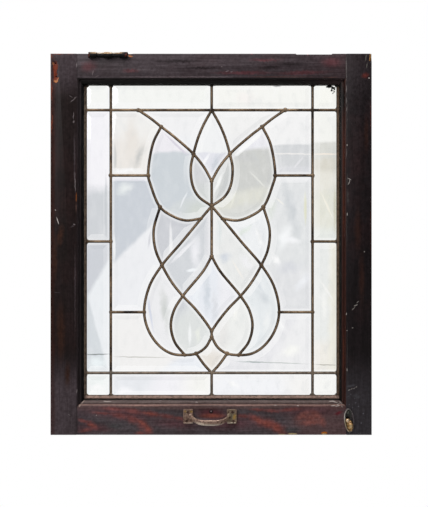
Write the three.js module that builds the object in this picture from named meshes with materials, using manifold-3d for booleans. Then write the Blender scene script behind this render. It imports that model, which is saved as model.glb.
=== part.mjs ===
// A top-hung wooden window sash with a leaded panel of clear bevelled glass. Millimetres, +Z up, +X to the
// right, the moulded room side towards -Y. The origin is on the top edge of the sash, in its middle.
import * as THREE from "three";
import { mergeVertices } from "three/addons/utils/BufferGeometryUtils.js";
import Module from "manifold-3d";

const wasm = await Module();
wasm.setup();

// Sash frame
const sashWidth = 600;
const sashHeight = 712;
const sashThickness = 35;
const stileLeftWidth = 61.5;
const stileRightWidth = 59.5; // planed narrower when the sash was fitted
const railTopWidth = 57;
const railBottomWidth = 65;
const mouldWidth = 12; // the moulding round the opening, and the glazing rebate behind it
const mouldDepth = 12.5; // from the front face back to the bedding line of the glass
const arris = 1; // eased outer edges
const tenonThickness = 11.5;
const tenonInset = { top: 13, bottom: 14, inner: 4.5 }; // from the outer edges, and from the moulding
const clearance = 0.3; // between pieces that touch
const beyond = 1; // cutters run on this far past a surface

// Leaded panel
const panelShift = { x: 1, z: -350.6 }; // middle of the pattern in the sash
const cameWidth = 5.4;
const cameThickness = 6.5;
const cameFlange = 0.95;
const cameHeart = 1.6;
const borderCameWidth = 12;
const glassThickness = 5.5;
const glassEdge = 3; // thickness left at the ground edge
const bevelWidth = 12.7;
const borderX = 240.5; // hearts of the border came, from the middle of the pattern
const borderTop = 299;
const borderBottom = -294.5;
const gridX = 189.7;
const gridZ = 247.2;
const connectorTopZ = 124.1;
const connectorBottomZ = -132.9;
const curveBulge = 1.2; // how far a curve of the pattern may stand off its straight facets

// Hardware
const lift = { x: -2, z: -677, width: 100, plate: [18.5, 27, 2.6], reach: 27, drop: 8.25 };
const hinge = { x: -192, width: 73, leaf: 2.4, gain: 0.6, depth: 24, barrel: 9.4, pin: 4.4, knuckles: 5 };
const emptyGain = { x: 192.3, width: 67.5, deep: 1.6, depth: 25 };
const flushPull = {
  x: 257.7,
  z: -684.6,
  width: 20,
  height: 46,
  deep: 7,
  wall: 1.2,
  rim: 1.2,
  lip: 1.4, // the rim stands out this far round the well
  lean: -0.09,
};
const frontScrew = { head: 6, shank: 2.6, length: 12, hole: 1.6, deep: 13 };
const edgeScrew = { head: 6, shank: 2.6, length: 13, hole: 1.6, deep: 14 };
const edgeScrewInset = { outer: 9, middle: 16 }; // back from the front face

const frontY = -sashThickness / 2;
const backY = sashThickness / 2;
const beddingY = frontY + mouldDepth;
const outer = { left: -sashWidth / 2, right: sashWidth / 2, top: 0, bottom: -sashHeight };
const sight = {
  left: outer.left + stileLeftWidth,
  right: outer.right - stileRightWidth,
  top: outer.top - railTopWidth,
  bottom: outer.bottom + railBottomWidth,
};
const face = {
  left: sight.left - mouldWidth,
  right: sight.right + mouldWidth,
  top: sight.top + mouldWidth,
  bottom: sight.bottom - mouldWidth,
};

// Solids

function solidFromTriangles(points, triangles) {
  const mesh = new wasm.Mesh({
    numProp: 3,
    vertProperties: new Float32Array(points.flat()),
    triVerts: new Uint32Array(triangles.flat()),
  });
  const made = new wasm.Manifold(mesh);
  if (made.volume() > 0) return made;
  return solidFromTriangles(
    points,
    triangles.map(([a, b, c]) => [a, c, b]),
  );
}

function solidOf(geometry) {
  const bare = new THREE.BufferGeometry().setAttribute("position", geometry.getAttribute("position"));
  if (geometry.index) bare.setIndex(geometry.index);
  const merged = mergeVertices(bare, 1e-4);
  const mesh = new wasm.Mesh({
    numProp: 3,
    vertProperties: new Float32Array(merged.attributes.position.array),
    triVerts: new Uint32Array(merged.index.array),
  });
  return new wasm.Manifold(mesh);
}

function geometryOf(solid) {
  const mesh = solid.getMesh();
  const geometry = new THREE.BufferGeometry();
  geometry.setAttribute("position", new THREE.BufferAttribute(mesh.vertProperties, mesh.numProp));
  geometry.setIndex(new THREE.BufferAttribute(mesh.triVerts, 1));
  return geometry;
}

// An outline drawn on two axes, drawn out along the third. axes names where the outline's first and second
// numbers and the length go, as in "xzy" for an outline in X and Z that is as thick as from..to in Y.
function drawOut(outline, from, to, axes = "xzy") {
  const shape = new THREE.Shape(outline.map(([a, b]) => new THREE.Vector2(a, b)));
  const geometry = new THREE.ExtrudeGeometry(shape, { depth: to - from, bevelEnabled: false });
  geometry.translate(0, 0, from);
  if (axes === "xyz") return solidOf(geometry);
  if (axes === "yzx") {
    const turn = new THREE.Matrix4().makeBasis(
      new THREE.Vector3(0, 1, 0),
      new THREE.Vector3(0, 0, 1),
      new THREE.Vector3(1, 0, 0),
    );
    return solidOf(geometry.applyMatrix4(turn));
  }
  geometry.translate(0, 0, -from - to); // turning about X sends the length from +Z to -Y
  return solidOf(geometry.rotateX(Math.PI / 2));
}

function block(left, right, front, back, bottom, top) {
  const outline = [
    [left, bottom],
    [right, bottom],
    [right, top],
    [left, top],
  ];
  return drawOut(outline, front, back);
}

function joinAll(solids) {
  return solids.reduce((whole, next) => whole.add(next));
}

function cutAll(solid, cutters) {
  return cutters.reduce((rest, next) => rest.subtract(next), solid);
}

function largestBody(solid) {
  const bodies = solid.decompose();
  return bodies.reduce((a, b) => (a.volume() > b.volume() ? a : b));
}

// A closed skin through rings of points, with each end closed by a fan.
function skin(rings) {
  const count = rings[0].length;
  const triangles = [];
  for (let r = 0; r + 1 < rings.length; r++) {
    for (let i = 0; i < count; i++) {
      const a = r * count + i;
      const b = r * count + ((i + 1) % count);
      triangles.push([a, b, b + count], [a, b + count, a + count]);
    }
  }
  const last = (rings.length - 1) * count;
  for (let i = 1; i + 1 < count; i++) {
    triangles.push([0, i + 1, i], [last, last + i, last + i + 1]);
  }
  return solidFromTriangles(rings.flat(), triangles);
}

function ellipseOutline(x, z, halfWidth, halfHeight, sides, lean = 0) {
  return Array.from({ length: sides }, (_, i) => {
    const turn = ((i + 0.5) / sides) * 2 * Math.PI;
    const up = halfHeight * Math.sin(turn);
    return [x + halfWidth * Math.cos(turn) + lean * up, z + up];
  });
}

function turned(profile, sides) {
  const points = profile.map(([radius, height]) => new THREE.Vector2(radius, height));
  return new THREE.LatheGeometry(points, sides);
}

const screwSides = 6;

// A countersunk screw along +Y, the rim of its head at 0.
function screw({ head, shank, length }) {
  const dome = 0.6;
  const sink = (head - shank) / 2;
  const profile = [
    [0, -length],
    [shank / 2, -length + shank],
    [shank / 2, -sink],
    [head / 2, 0],
    [0, dome],
  ];
  return turned(profile, screwSides);
}

// The hole that such a screw passes through in a plate.
function screwSeat() {
  const [hole, mouth, through, sunk, above] = [1.8, 3.4, 9, 1.6, 3];
  const profile = [
    [0, -through],
    [hole, -through],
    [hole, -sunk],
    [mouth, 0.05],
    [mouth, above],
    [0, above],
  ];
  return turned(profile, screwSides);
}

// Sash frame

// A member's section: [distance in from its outer edge, depth]. A rounded arris, a small quirk and an
// ovolo run into the opening on the room side, and the rebate behind them takes the glass.
function memberSection(width) {
  const line = width - mouldWidth;
  const round = 3.5;
  const quirk = { width: 0.9, deep: 0.9 };
  const ovoloStart = line + round + quirk.width;
  const ovolo = { width: width - ovoloStart, deep: 6 };
  const roundSteps = 3;
  const ovoloSteps = 4;
  const section = [
    [0, frontY + arris],
    [arris, frontY],
  ];
  for (let i = 0; i <= roundSteps; i++) {
    const turn = (i / roundSteps) * (Math.PI / 2);
    section.push([line + round * Math.sin(turn), frontY + round * (1 - Math.cos(turn))]);
  }
  section.push([line + round, frontY + round + quirk.deep]);
  section.push([ovoloStart, frontY + round + quirk.deep]);
  for (let i = 0; i <= ovoloSteps; i++) {
    const turn = (i / ovoloSteps) * (Math.PI / 2);
    const across = ovoloStart + ovolo.width * Math.sin(turn);
    section.push([across, frontY + round + ovolo.deep * (1 - Math.cos(turn))]);
  }
  section.push([width, beddingY], [line, beddingY], [line, backY]);
  section.push([arris, backY], [0, backY - arris]);
  return section;
}

const corners = [
  { x: face.left, z: face.top, inX: 1, outZ: 1 },
  { x: face.left, z: face.bottom, inX: 1, outZ: -1 },
  { x: face.right, z: face.top, inX: -1, outZ: 1 },
  { x: face.right, z: face.bottom, inX: -1, outZ: -1 },
];

// What a stile loses at a corner, so that its moulding meets the rail's on a mitre.
function stileMitre({ x, z, inX, outZ }) {
  const far = 90;
  const past = mouldWidth + 3;
  const outline = [
    [x, z],
    [x + inX * past, z - outZ * past],
    [x + inX * past, z + outZ * far],
    [x, z + outZ * far],
  ];
  return drawOut(outline, frontY - beyond, backY + beyond);
}

const mitreGap = clearance * Math.SQRT2; // along the rail, for a clearance square to the mitre

function railMitre({ x, z, inX, outZ }) {
  const past = mouldWidth + 3;
  const start = x + inX * mitreGap;
  const outline = [
    [start, z],
    [start + inX * past, z - outZ * past],
    [x - inX * past, z - outZ * past],
    [x - inX * past, z],
  ];
  return drawOut(outline, frontY - beyond, backY + beyond);
}

const tenons = [
  { bottom: face.top + tenonInset.inner, top: outer.top - tenonInset.top },
  { bottom: outer.bottom + tenonInset.bottom, top: face.bottom - tenonInset.inner },
];

function mortise({ bottom, top }, left, right) {
  return block(
    left,
    right,
    beddingY - clearance,
    beddingY + tenonThickness + clearance,
    bottom - clearance,
    top + clearance,
  );
}

function stile(side) {
  const inward = side === "left" ? 1 : -1;
  const width = side === "left" ? stileLeftWidth : stileRightWidth;
  const section = memberSection(width).map(([across, depth]) => [outer[side] + inward * across, depth]);
  const reach = [outer[side] - inward * beyond, face[side] + inward * beyond].sort((a, b) => a - b);
  return cutAll(drawOut(section, outer.bottom, outer.top, "xyz"), [
    ...corners.filter((corner) => corner.inX === inward).map(stileMitre),
    ...tenons.map((tenon) => mortise(tenon, ...reach)),
  ]);
}

function rail(side) {
  const inward = side === "top" ? -1 : 1;
  const width = side === "top" ? railTopWidth : railBottomWidth;
  const tenon = side === "top" ? tenons[0] : tenons[1];
  const section = memberSection(width).map(([across, depth]) => [depth, outer[side] + inward * across]);
  const body = cutAll(
    drawOut(section, face.left + mitreGap, face.right - mitreGap, "yzx"),
    corners.filter((corner) => corner.outZ === -inward).map(railMitre),
  );
  const root = 3; // how far a tenon runs back into the rail
  const ends = [
    [outer.left, face.left + root],
    [face.right - root, outer.right],
  ];
  return joinAll([
    body,
    ...ends.map(([left, right]) =>
      block(left, right, beddingY, beddingY + tenonThickness, tenon.bottom, tenon.top),
    ),
  ]);
}

// Wear and fittings cut into the wood

function frontHole(x, z, radius, deep) {
  return drawOut(ellipseOutline(x, z, radius, radius, screwSides), frontY - beyond, frontY + deep);
}

function edgeHole(x, y) {
  const hole = ellipseOutline(x, y, edgeScrew.hole, edgeScrew.hole, screwSides);
  return drawOut(hole, -edgeScrew.deep, beyond, "xyz");
}

// The bare shallow bed of a lost fitting on the left stile, pointed at its lower end, and its two holes.
const lostFitting = { left: -296, right: -284, top: -14, shoulder: -47, point: [-289, -55], deep: 0.6 };
const lostScrews = { radius: 1.7, deep: 9, upper: [-290.3, -17.7], lower: [-289, -42.9] };

function lostFittingCuts() {
  const { left, right, top, shoulder, point, deep } = lostFitting;
  const outline = [[left, top], [right, top], [right, shoulder], point, [left, shoulder]];
  return [
    drawOut(outline, frontY - beyond, frontY + deep),
    ...[lostScrews.upper, lostScrews.lower].map(([x, z]) =>
      frontHole(x, z, lostScrews.radius, lostScrews.deep),
    ),
  ];
}

// Chips broken out of the front edge: a block set askew, its middle on that edge.
const cornerChip = { x: outer.right, z: -6, size: [7, 7, 17], turns: [0.1, 0.3, Math.PI / 4] };
const hingeChip = {
  x: hinge.x + hinge.width / 2 + 4,
  z: -1,
  size: [9, 7, 9],
  turns: [Math.PI / 4, 0.25, 0.1],
};

function chipCut({ x, z, size, turns }) {
  const geometry = new THREE.BoxGeometry(...size);
  geometry.rotateX(turns[0]).rotateY(turns[1]).rotateZ(turns[2]);
  return solidOf(geometry.translate(x, frontY, z));
}

const flushSides = 16;
const gainLeft = block(
  hinge.x - hinge.width / 2 - clearance,
  hinge.x + hinge.width / 2 + clearance,
  frontY - beyond,
  frontY + hinge.depth + clearance,
  -hinge.gain,
  beyond,
);
const gainRight = block(
  emptyGain.x - emptyGain.width / 2,
  emptyGain.x + emptyGain.width / 2,
  frontY - beyond,
  frontY + emptyGain.depth,
  -emptyGain.deep,
  beyond,
);

// Three screws in a shallow triangle, each [along the leaf, depth].
function edgeScrewPlaces(pitch) {
  return [
    [-pitch, frontY + edgeScrewInset.outer],
    [0, frontY + edgeScrewInset.middle],
    [pitch, frontY + edgeScrewInset.outer],
  ];
}

const hingeScrewPlaces = edgeScrewPlaces(24);
const emptyGainPlaces = edgeScrewPlaces(22);
const liftScrewPlaces = [
  [-41.5, 8],
  [-43.5, -8.5],
  [41.5, 8],
  [43.5, -8.5],
];
const flushBed = drawOut(
  ellipseOutline(
    flushPull.x,
    flushPull.z,
    flushPull.width / 2 - flushPull.lip + clearance,
    flushPull.height / 2 - flushPull.lip + clearance,
    flushSides,
    flushPull.lean,
  ),
  frontY - beyond,
  frontY + flushPull.deep + clearance,
);

const stileLeft = cutAll(stile("left"), lostFittingCuts());
const stileRight = cutAll(stile("right"), [chipCut(cornerChip), flushBed]);
const railTop = cutAll(rail("top"), [
  gainLeft,
  gainRight,
  chipCut(hingeChip),
  ...emptyGainPlaces.map(([along, y]) => edgeHole(emptyGain.x + along, y)),
  ...hingeScrewPlaces.map(([along, y]) => edgeHole(hinge.x + along, y)),
]);
const railBottom = cutAll(rail("bottom"), [
  flushBed,
  ...liftScrewPlaces.map(([along, up]) =>
    frontHole(lift.x + along, lift.z + up, frontScrew.hole, frontScrew.deep),
  ),
]);

// Lines of the leaded pattern

// The fewest even steps along a stretch of a curve whose straight facets stay within curveBulge of it.
function facetsAlong(curve, from, to) {
  for (let count = 1; ; count++) {
    const at = (step) => curve.getPoint(from + ((to - from) * step) / count);
    const steps = Array.from({ length: count }, (_, i) => i);
    const close = steps.every((step) => {
      const chord = new THREE.Line3(at(step), at(step + 1));
      return [0.25, 0.5, 0.75].every((share) => {
        const point = at(step + share);
        const foot = chord.closestPointToPoint(point, true, new THREE.Vector3());
        return foot.distanceTo(point) < curveBulge;
      });
    });
    if (close) return steps.slice(1).map(at);
  }
}

// A smooth line through points. marks are the places in the list where another came meets the line; the
// line is cut there into runs.
function runsThrough(points, marks) {
  const curve = new THREE.CatmullRomCurve3(
    points.map(([x, z]) => new THREE.Vector3(x, z, 0)),
    false,
    "centripetal",
  );
  const spans = points.length - 1;
  return marks.slice(1).map((mark, i) => {
    const facets = facetsAlong(curve, marks[i] / spans, mark / spans);
    return [points[marks[i]], ...facets.map(({ x, y }) => [x, y]), points[mark]];
  });
}

function chained(runs) {
  return runs.reduce((line, run) => [...line, ...run.slice(1)], [runs[0][0]]);
}

const onArm = [95.1, 216];
const armPetal = [34.2, 164.5];
const armsMeet = [0, 113.7];
const petalFoot = [0, 66.7];
const lobeSide = [119.4, connectorTopZ];
const lobeLoop = [97.2, 64.9];
const lobeDiagonal = [19.9, 43];
const loopCross = [93.4, -44.6];
const loopSide = [126.9, connectorBottomZ];
const loopTear = [50.6, -213.6];
const loopDiamond = [29.2, -210.8];
const loopFoot = [0, -179.5];
const tearTop = [0, -27.8];
const tearCross = [54.3, -102.6];
const kiss = [0, -168.3];
const diamondFoot = [0, -gridZ];

// The right half of the pattern; the left half mirrors it.
const [armOuter, armMiddle, armInner] = runsThrough(
  [[138.2, gridZ], [116, 232.4], onArm, [72.2, 198.3], armPetal, [14, 139], armsMeet],
  [0, 2, 4, 6],
);
const [petalUpper, petalLower] = runsThrough(
  [[0, gridZ], [15.5, 219], [26, 193.5], armPetal, [39.3, 138], [35.6, 104.8], [24.2, 84.2], petalFoot],
  [0, 3, 7],
);
const [lobeUpper, lobeLower, lobeUnder] = runsThrough(
  [onArm, [110.4, 184], lobeSide, [115.4, 108], lobeLoop, [74, 48], [49, 39.6], lobeDiagonal],
  [0, 2, 4, 7],
);
const [diagonalTop, diagonal, loopUpper, loopLower, loopEnd, loopHook] = runsThrough(
  [
    petalFoot, lobeDiagonal, [56.4, -1.2], loopCross, [117, -84], loopSide, [117.6, -170],
    [96, -198.6], [74, -211.3], loopTear, loopDiamond, [11.8, -199.4], loopFoot,
  ],
  [0, 1, 3, 5, 9, 10, 12],
);
const [sCurveUpper, sCurveMiddle, sCurveLower] = runsThrough(
  [lobeLoop, [109, 22], [106, -14], loopCross, [74.5, -77.5], tearCross, [32.5, -125], [13.2, -149], kiss],
  [0, 3, 5, 8],
);
const [tearUpper, tearLower] = runsThrough(
  [tearTop, [15, -54.5], tearCross, [70.8, -129.5], [76.8, -158], [69.6, -189], loopTear],
  [0, 2, 6],
);
const [diamondSide] = runsThrough([loopDiamond, [14.6, -231], diamondFoot], [0, 2]);
const [stemUpper, stemMiddle, kissLine] = [
  [armsMeet, petalFoot],
  [petalFoot, tearTop],
  [kiss, loopFoot],
];
const connectorTop = [lobeSide, [gridX, connectorTopZ]];
const connectorBottom = [loopSide, [gridX, connectorBottomZ]];
const halfLines = [
  chained([armOuter, armMiddle, armInner]),
  chained([petalUpper, petalLower]),
  chained([lobeUpper, lobeLower, lobeUnder]),
  chained([diagonalTop, diagonal, loopUpper, loopLower, loopEnd, loopHook]),
  chained([sCurveUpper, sCurveMiddle, sCurveLower]),
  chained([tearUpper, tearLower]),
  diamondSide,
  connectorTop,
  connectorBottom,
  [[gridX, borderBottom], [gridX, borderTop]],
  [[gridX, 0], [borderX, 0]],
];
const middleLines = [
  chained([stemUpper, stemMiddle]),
  kissLine,
  [[0, gridZ], [0, borderTop]],
  [[0, borderBottom], [0, -gridZ]],
  [[-borderX, gridZ], [borderX, gridZ]],
  [[-borderX, -gridZ], [borderX, -gridZ]],
];
const mirrored = (line) => line.map(([x, z]) => [-x, z]);
const lines = [...middleLines, ...halfLines, ...halfLines.map(mirrored)];
const borderOutline = [
  [-borderX, borderBottom],
  [borderX, borderBottom],
  [borderX, borderTop],
  [-borderX, borderTop],
];

// Came lattice

// Unit directions and mitres at each point of a line, positive to the left of its run.
function mitresOf(line) {
  const steps = line.slice(1).map(([x, z], i) => {
    const [dx, dz] = [x - line[i][0], z - line[i][1]];
    const length = Math.hypot(dx, dz);
    return [dx / length, dz / length];
  });
  const mitres = line.map((_, i) => {
    const before = steps[Math.max(0, i - 1)];
    const after = steps[Math.min(steps.length - 1, i)];
    const sum = [-before[1] - after[1], before[0] + after[0]];
    const scale = 2 / (sum[0] ** 2 + sum[1] ** 2);
    return [sum[0] * scale, sum[1] * scale];
  });
  return { mitres, first: steps[0], last: steps[steps.length - 1] };
}

function lengthened(line, start, end = start) {
  const { first, last } = mitresOf(line);
  const foot = line[0];
  const tip = line[line.length - 1];
  return [
    [foot[0] - first[0] * start, foot[1] - first[1] * start],
    ...line.slice(1, -1),
    [tip[0] + last[0] * end, tip[1] + last[1] * end],
  ];
}

function strip(line, width, front, back) {
  const overrun = 0.15; // of its width, past each end
  const long = lengthened(line, width * overrun);
  const { mitres } = mitresOf(long);
  const side = (sign) =>
    long.map(([x, z], i) => [
      x + (sign * mitres[i][0] * width) / 2 + panelShift.x,
      z + (sign * mitres[i][1] * width) / 2 + panelShift.z,
    ]);
  return drawOut([...side(1), ...side(-1).reverse()], front, back);
}

function borderRing(width, front, back) {
  const grown = (by) =>
    borderOutline.map(([x, z]) => [
      x + Math.sign(x) * by + panelShift.x,
      z + Math.sign(z) * by + panelShift.z,
    ]);
  return drawOut(grown(width / 2), front, back).subtract(
    drawOut(grown(-width / 2), front - beyond, back + beyond),
  );
}

const cameFront = beddingY + clearance;
const cameBack = cameFront + cameThickness;
const bite = 0.1; // the flanges and the heart run this far into each other

function cameLayer(width, borderWidth, front, back) {
  const strips = lines.map((line) => strip(line, width, front, back));
  return joinAll([borderRing(borderWidth, front, back), ...strips]);
}

const cameLattice = joinAll([
  cameLayer(cameWidth, borderCameWidth, cameFront, cameFront + cameFlange),
  cameLayer(cameHeart, cameHeart, cameFront + cameFlange - bite, cameBack - cameFlange + bite),
  cameLayer(cameWidth, borderCameWidth, cameBack - cameFlange, cameBack),
]);

// Bevelled panes

const glassBack = cameBack - cameFlange - clearance;
const glassFront = glassBack - glassThickness;
const heartRoom = cameHeart + 2 * clearance;
const heartLattice = cameLayer(heartRoom, heartRoom, glassFront - beyond, glassBack + beyond);

// The slope ground along one side of a pane, the pane lying to the left of the line.
function bevelCut(line) {
  const past = 4;
  const runOn = 2.2 * bevelWidth; // past both ends, far enough to mitre at a blunt corner
  const slope = (glassThickness - glassEdge) / bevelWidth;
  const edge = heartRoom / 2;
  const long = lengthened(line, runOn);
  const { mitres } = mitresOf(long);
  const section = [
    [edge - past, glassFront + slope * (bevelWidth + past)],
    [edge + bevelWidth + past, glassFront - slope * past],
    [edge - past, glassFront - slope * past - beyond],
  ];
  const rings = long.map(([x, z], i) =>
    section.map(([across, y]) => [
      x + mitres[i][0] * across + panelShift.x,
      y,
      z + mitres[i][1] * across + panelShift.z,
    ]),
  );
  return skin(rings);
}

const backward = (line) => [...line].reverse();

// A pane from its sides in order round it, each side a smooth line from corner to corner.
function pane(sides) {
  const outline = sides.flatMap((side) => side.slice(0, -1));
  const area = THREE.ShapeUtils.area(outline.map(([x, z]) => new THREE.Vector2(x, z)));
  const leftHanded = area > 0 ? sides : sides.map(backward);
  const inSash = outline.map(([x, z]) => [x + panelShift.x, z + panelShift.z]);
  const plate = drawOut(inSash, glassFront, glassBack).subtract(heartLattice);
  return largestBody(cutAll(largestBody(plate), leftHanded.map(bevelCut)));
}

function rectangle(left, right, bottom, top) {
  const points = [
    [left, bottom],
    [right, bottom],
    [right, top],
    [left, top],
  ];
  return points.map((point, i) => [point, points[(i + 1) % 4]]);
}

const armFoot = armOuter[0];
const gridCorner = [gridX, gridZ];
const gridLow = [gridX, -gridZ];

// Panes of the right half, each with a mirrored twin on the left.
const pairedPanes = {
  glass_border_corner_top: rectangle(gridX, borderX, gridZ, borderTop),
  glass_border_top: rectangle(0, gridX, gridZ, borderTop),
  glass_border_side_upper: rectangle(gridX, borderX, 0, gridZ),
  glass_border_side_lower: rectangle(gridX, borderX, -gridZ, 0),
  glass_border_corner_bottom: rectangle(gridX, borderX, borderBottom, -gridZ),
  glass_border_bottom: rectangle(0, gridX, borderBottom, -gridZ),
  glass_field_shoulder: [
    [armFoot, gridCorner],
    [gridCorner, connectorTop[1]],
    backward(connectorTop),
    backward(lobeUpper),
    backward(armOuter),
  ],
  glass_field_top: [
    [[0, gridZ], armFoot],
    chained([armOuter, armMiddle]),
    backward(petalUpper),
  ],
  glass_petal_lower: [petalLower, backward(stemUpper), backward(armInner)],
  glass_lobe_upper: [
    chained([lobeUpper, lobeLower, lobeUnder]),
    backward(diagonalTop),
    backward(petalLower),
    backward(armMiddle),
  ],
  glass_field_side: [
    connectorTop,
    [connectorTop[1], connectorBottom[1]],
    backward(connectorBottom),
    backward(loopUpper),
    backward(sCurveUpper),
    backward(lobeLower),
  ],
  glass_crescent_upper: [lobeUnder, diagonal, backward(sCurveUpper)],
  glass_centre: [
    chained([diagonalTop, diagonal]),
    sCurveMiddle,
    backward(tearUpper),
    backward(stemMiddle),
  ],
  glass_crescent_lower: [chained([loopUpper, loopLower]), backward(tearLower), backward(sCurveMiddle)],
  glass_lobe_lower: [
    tearLower,
    chained([loopEnd, loopHook]),
    backward(kissLine),
    backward(sCurveLower),
  ],
  glass_field_foot: [
    backward(diamondSide),
    backward(chained([loopLower, loopEnd])),
    connectorBottom,
    [connectorBottom[1], gridLow],
    [gridLow, diamondFoot],
  ],
};

// Panes on the middle line: the sides of the right half, then their mirrored twins back round.
const middlePanes = {
  glass_petal_top: [petalUpper, armInner],
  glass_diamond: [tearUpper, sCurveLower],
  glass_diamond_foot: [backward(loopHook), diamondSide],
};

// Putty

// Bedding that fills the rebate round the panel, and the sloped fillet run behind it.
function putty() {
  const filletDeep = 12;
  const featherEdge = 0.5; // thickness left where the fillet runs out on the wood
  const wall = (by) => [
    [face.left + by, face.bottom + by],
    [face.right - by, face.bottom + by],
    [face.right - by, face.top - by],
    [face.left + by, face.top - by],
  ];
  const panelReach = borderCameWidth / 2 + clearance;
  const panelBack = cameBack + clearance;
  const filletBack = cameBack + filletDeep;
  const body = drawOut(wall(clearance), cameFront, filletBack);
  const hollow = skin(
    [
      [mouldWidth - beyond, cameFront - beyond],
      [mouldWidth - beyond, panelBack + featherEdge],
      [clearance + featherEdge, filletBack],
      [clearance + featherEdge, filletBack + beyond],
    ].map(([by, y]) => wall(by).map(([x, z]) => [x, y, z])),
  );
  const panelRoom = block(
    panelShift.x - borderX - panelReach,
    panelShift.x + borderX + panelReach,
    cameFront - beyond,
    panelBack,
    panelShift.z + borderBottom - panelReach,
    outer.top,
  );
  return cutAll(body, [hollow, panelRoom]);
}

// Hardware

function placed(geometry, x, y, z) {
  return solidOf(geometry.translate(x, y, z));
}

// The cast sash lift: two foot plates and a bar that bows out and down between them.
const liftPlateFront = frontY - clearance - lift.plate[2];

function sashLift() {
  const [plateWidth, plateHeight] = lift.plate;
  const half = lift.width / 2;
  const plates = [-1, 1].map((side) => {
    const middle = lift.x + side * (half - plateWidth / 2);
    const [w, h, cut] = [plateWidth / 2, plateHeight / 2, 2];
    const outline = [
      [middle - w + cut, lift.z - h],
      [middle + w - cut, lift.z - h],
      [middle + w, lift.z - h + cut],
      [middle + w, lift.z + h - cut],
      [middle + w - cut, lift.z + h],
      [middle - w + cut, lift.z + h],
      [middle - w, lift.z + h - cut],
      [middle - w, lift.z - h + cut],
    ];
    return drawOut(outline, liftPlateFront, frontY - clearance);
  });
  const footX = half - plateWidth + 4; // the bar's ends, just inside the plates
  const sunk = 1.4; // into the plates
  const foot = { tall: 3.1, thick: 2.6 };
  const belly = { tall: 5.2, thick: 3 };
  const squareness = 3.2; // of the bow: 2 is a parabola
  const steps = 9;
  const sides = 8;
  const rings = Array.from({ length: steps + 1 }, (_, i) => {
    const along = (i / steps) * 2 - 1; // from one foot to the other
    const bow = 1 - Math.abs(along) ** squareness;
    const tall = foot.tall + (belly.tall - foot.tall) * bow;
    const thick = foot.thick + (belly.thick - foot.thick) * bow;
    const centreY = liftPlateFront + sunk - lift.reach * bow;
    const centreZ = lift.z - lift.drop * bow ** 0.8;
    const slope = Math.sign(along) * Math.min(1.1, squareness * Math.abs(along) ** 2.2);
    return Array.from({ length: sides }, (_, s) => {
      const turn = (s / sides) * 2 * Math.PI;
      const outward = thick * Math.cos(turn);
      return [
        lift.x + footX * along + outward * Math.sin(slope),
        centreY - outward * Math.cos(slope),
        centreZ + tall * Math.sin(turn),
      ];
    });
  });
  const holes = liftScrewPlaces.map(([along, up]) =>
    placed(screwSeat().rotateX(Math.PI), lift.x + along, liftPlateFront, lift.z + up),
  );
  return cutAll(joinAll([...plates, skin(rings)]), holes);
}

// The hinge leaf let into the top edge, with the knuckles that hang in front of the face.
const knuckleAxis = { y: frontY - hinge.barrel / 2 - 0.6, z: -hinge.gain - hinge.barrel / 2 + 0.4 };
const hingeEnds = [hinge.x - hinge.width / 2, hinge.x + hinge.width / 2];
const leafBottom = -hinge.gain + clearance;
const leafTop = leafBottom + hinge.leaf;

function hingeLeaf() {
  const [left, right] = hingeEnds;
  const radius = hinge.barrel / 2;
  const sides = 10;
  const round = (r) => ellipseOutline(knuckleAxis.y, knuckleAxis.z, r, r, sides);
  const knuckle = drawOut(round(radius), left, right, "yzx");
  const plate = block(left, right, knuckleAxis.y, frontY + hinge.depth, leafBottom, leafTop);
  const bore = drawOut(round(hinge.pin / 2 + clearance), left - beyond, right + beyond, "yzx");
  const share = hinge.width / hinge.knuckles;
  const otherLeaf = [1, 3]; // knuckles that belonged to the leaf on the frame
  const missing = otherLeaf.map((place) =>
    block(
      left + place * share,
      left + (place + 1) * share,
      knuckleAxis.y - radius - beyond,
      frontY - 0.2,
      knuckleAxis.z - radius - beyond,
      leafTop + beyond,
    ),
  );
  const holes = hingeScrewPlaces.map(([along, y]) =>
    placed(screwSeat().rotateX(Math.PI / 2), hinge.x + along, y, leafTop),
  );
  return cutAll(knuckle.add(plate), [bore, ...missing, ...holes]);
}

function hingePin() {
  const [left, right] = hingeEnds;
  const short = 0.5; // at each end
  const sides = 8;
  const outline = ellipseOutline(knuckleAxis.y, knuckleAxis.z, hinge.pin / 2, hinge.pin / 2, sides);
  return drawOut(outline, left + short, right - short, "yzx");
}

// The oval cup let in flush at the lower right: a thin rim on the face and a dished well behind it.
function flushOval(inset, front, back) {
  const outline = ellipseOutline(
    flushPull.x,
    flushPull.z,
    flushPull.width / 2 - inset,
    flushPull.height / 2 - inset,
    flushSides,
    flushPull.lean,
  );
  return drawOut(outline, front, back);
}

const flushFront = frontY - clearance - flushPull.rim;

function flushCup() {
  const rim = flushOval(0, flushFront, flushFront + flushPull.rim);
  const well = flushOval(flushPull.lip, flushFront, frontY + flushPull.deep);
  const hollow = flushOval(
    flushPull.lip + flushPull.wall,
    flushFront - beyond,
    frontY + flushPull.deep - flushPull.wall,
  );
  return rim.add(well).subtract(hollow);
}

// The brass thumb piece standing in the lower half of the cup.
function thumbPiece() {
  const floorY = frontY + flushPull.deep - flushPull.wall - clearance;
  const tip = frontY - 5;
  const sides = 10;
  const lobes = [
    { y: floorY, width: 4.4, height: 8.4, z: -9 },
    { y: frontY - 1, width: 4.6, height: 8.6, z: -9 },
    { y: frontY - 2.5, width: 5.8, height: 9.4, z: -10 },
    { y: tip + 0.8, width: 5, height: 7.6, z: -10.8 },
    { y: tip, width: 2.6, height: 4.4, z: -11 },
  ];
  const rings = lobes.map(({ y, width, height, z }) =>
    ellipseOutline(
      flushPull.x + flushPull.lean * z,
      flushPull.z + z,
      width,
      height,
      sides,
      flushPull.lean,
    ).map(([px, pz]) => [px, y, pz]),
  );
  return skin(rings);
}

// The sash

const sash = new THREE.Group();

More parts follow.
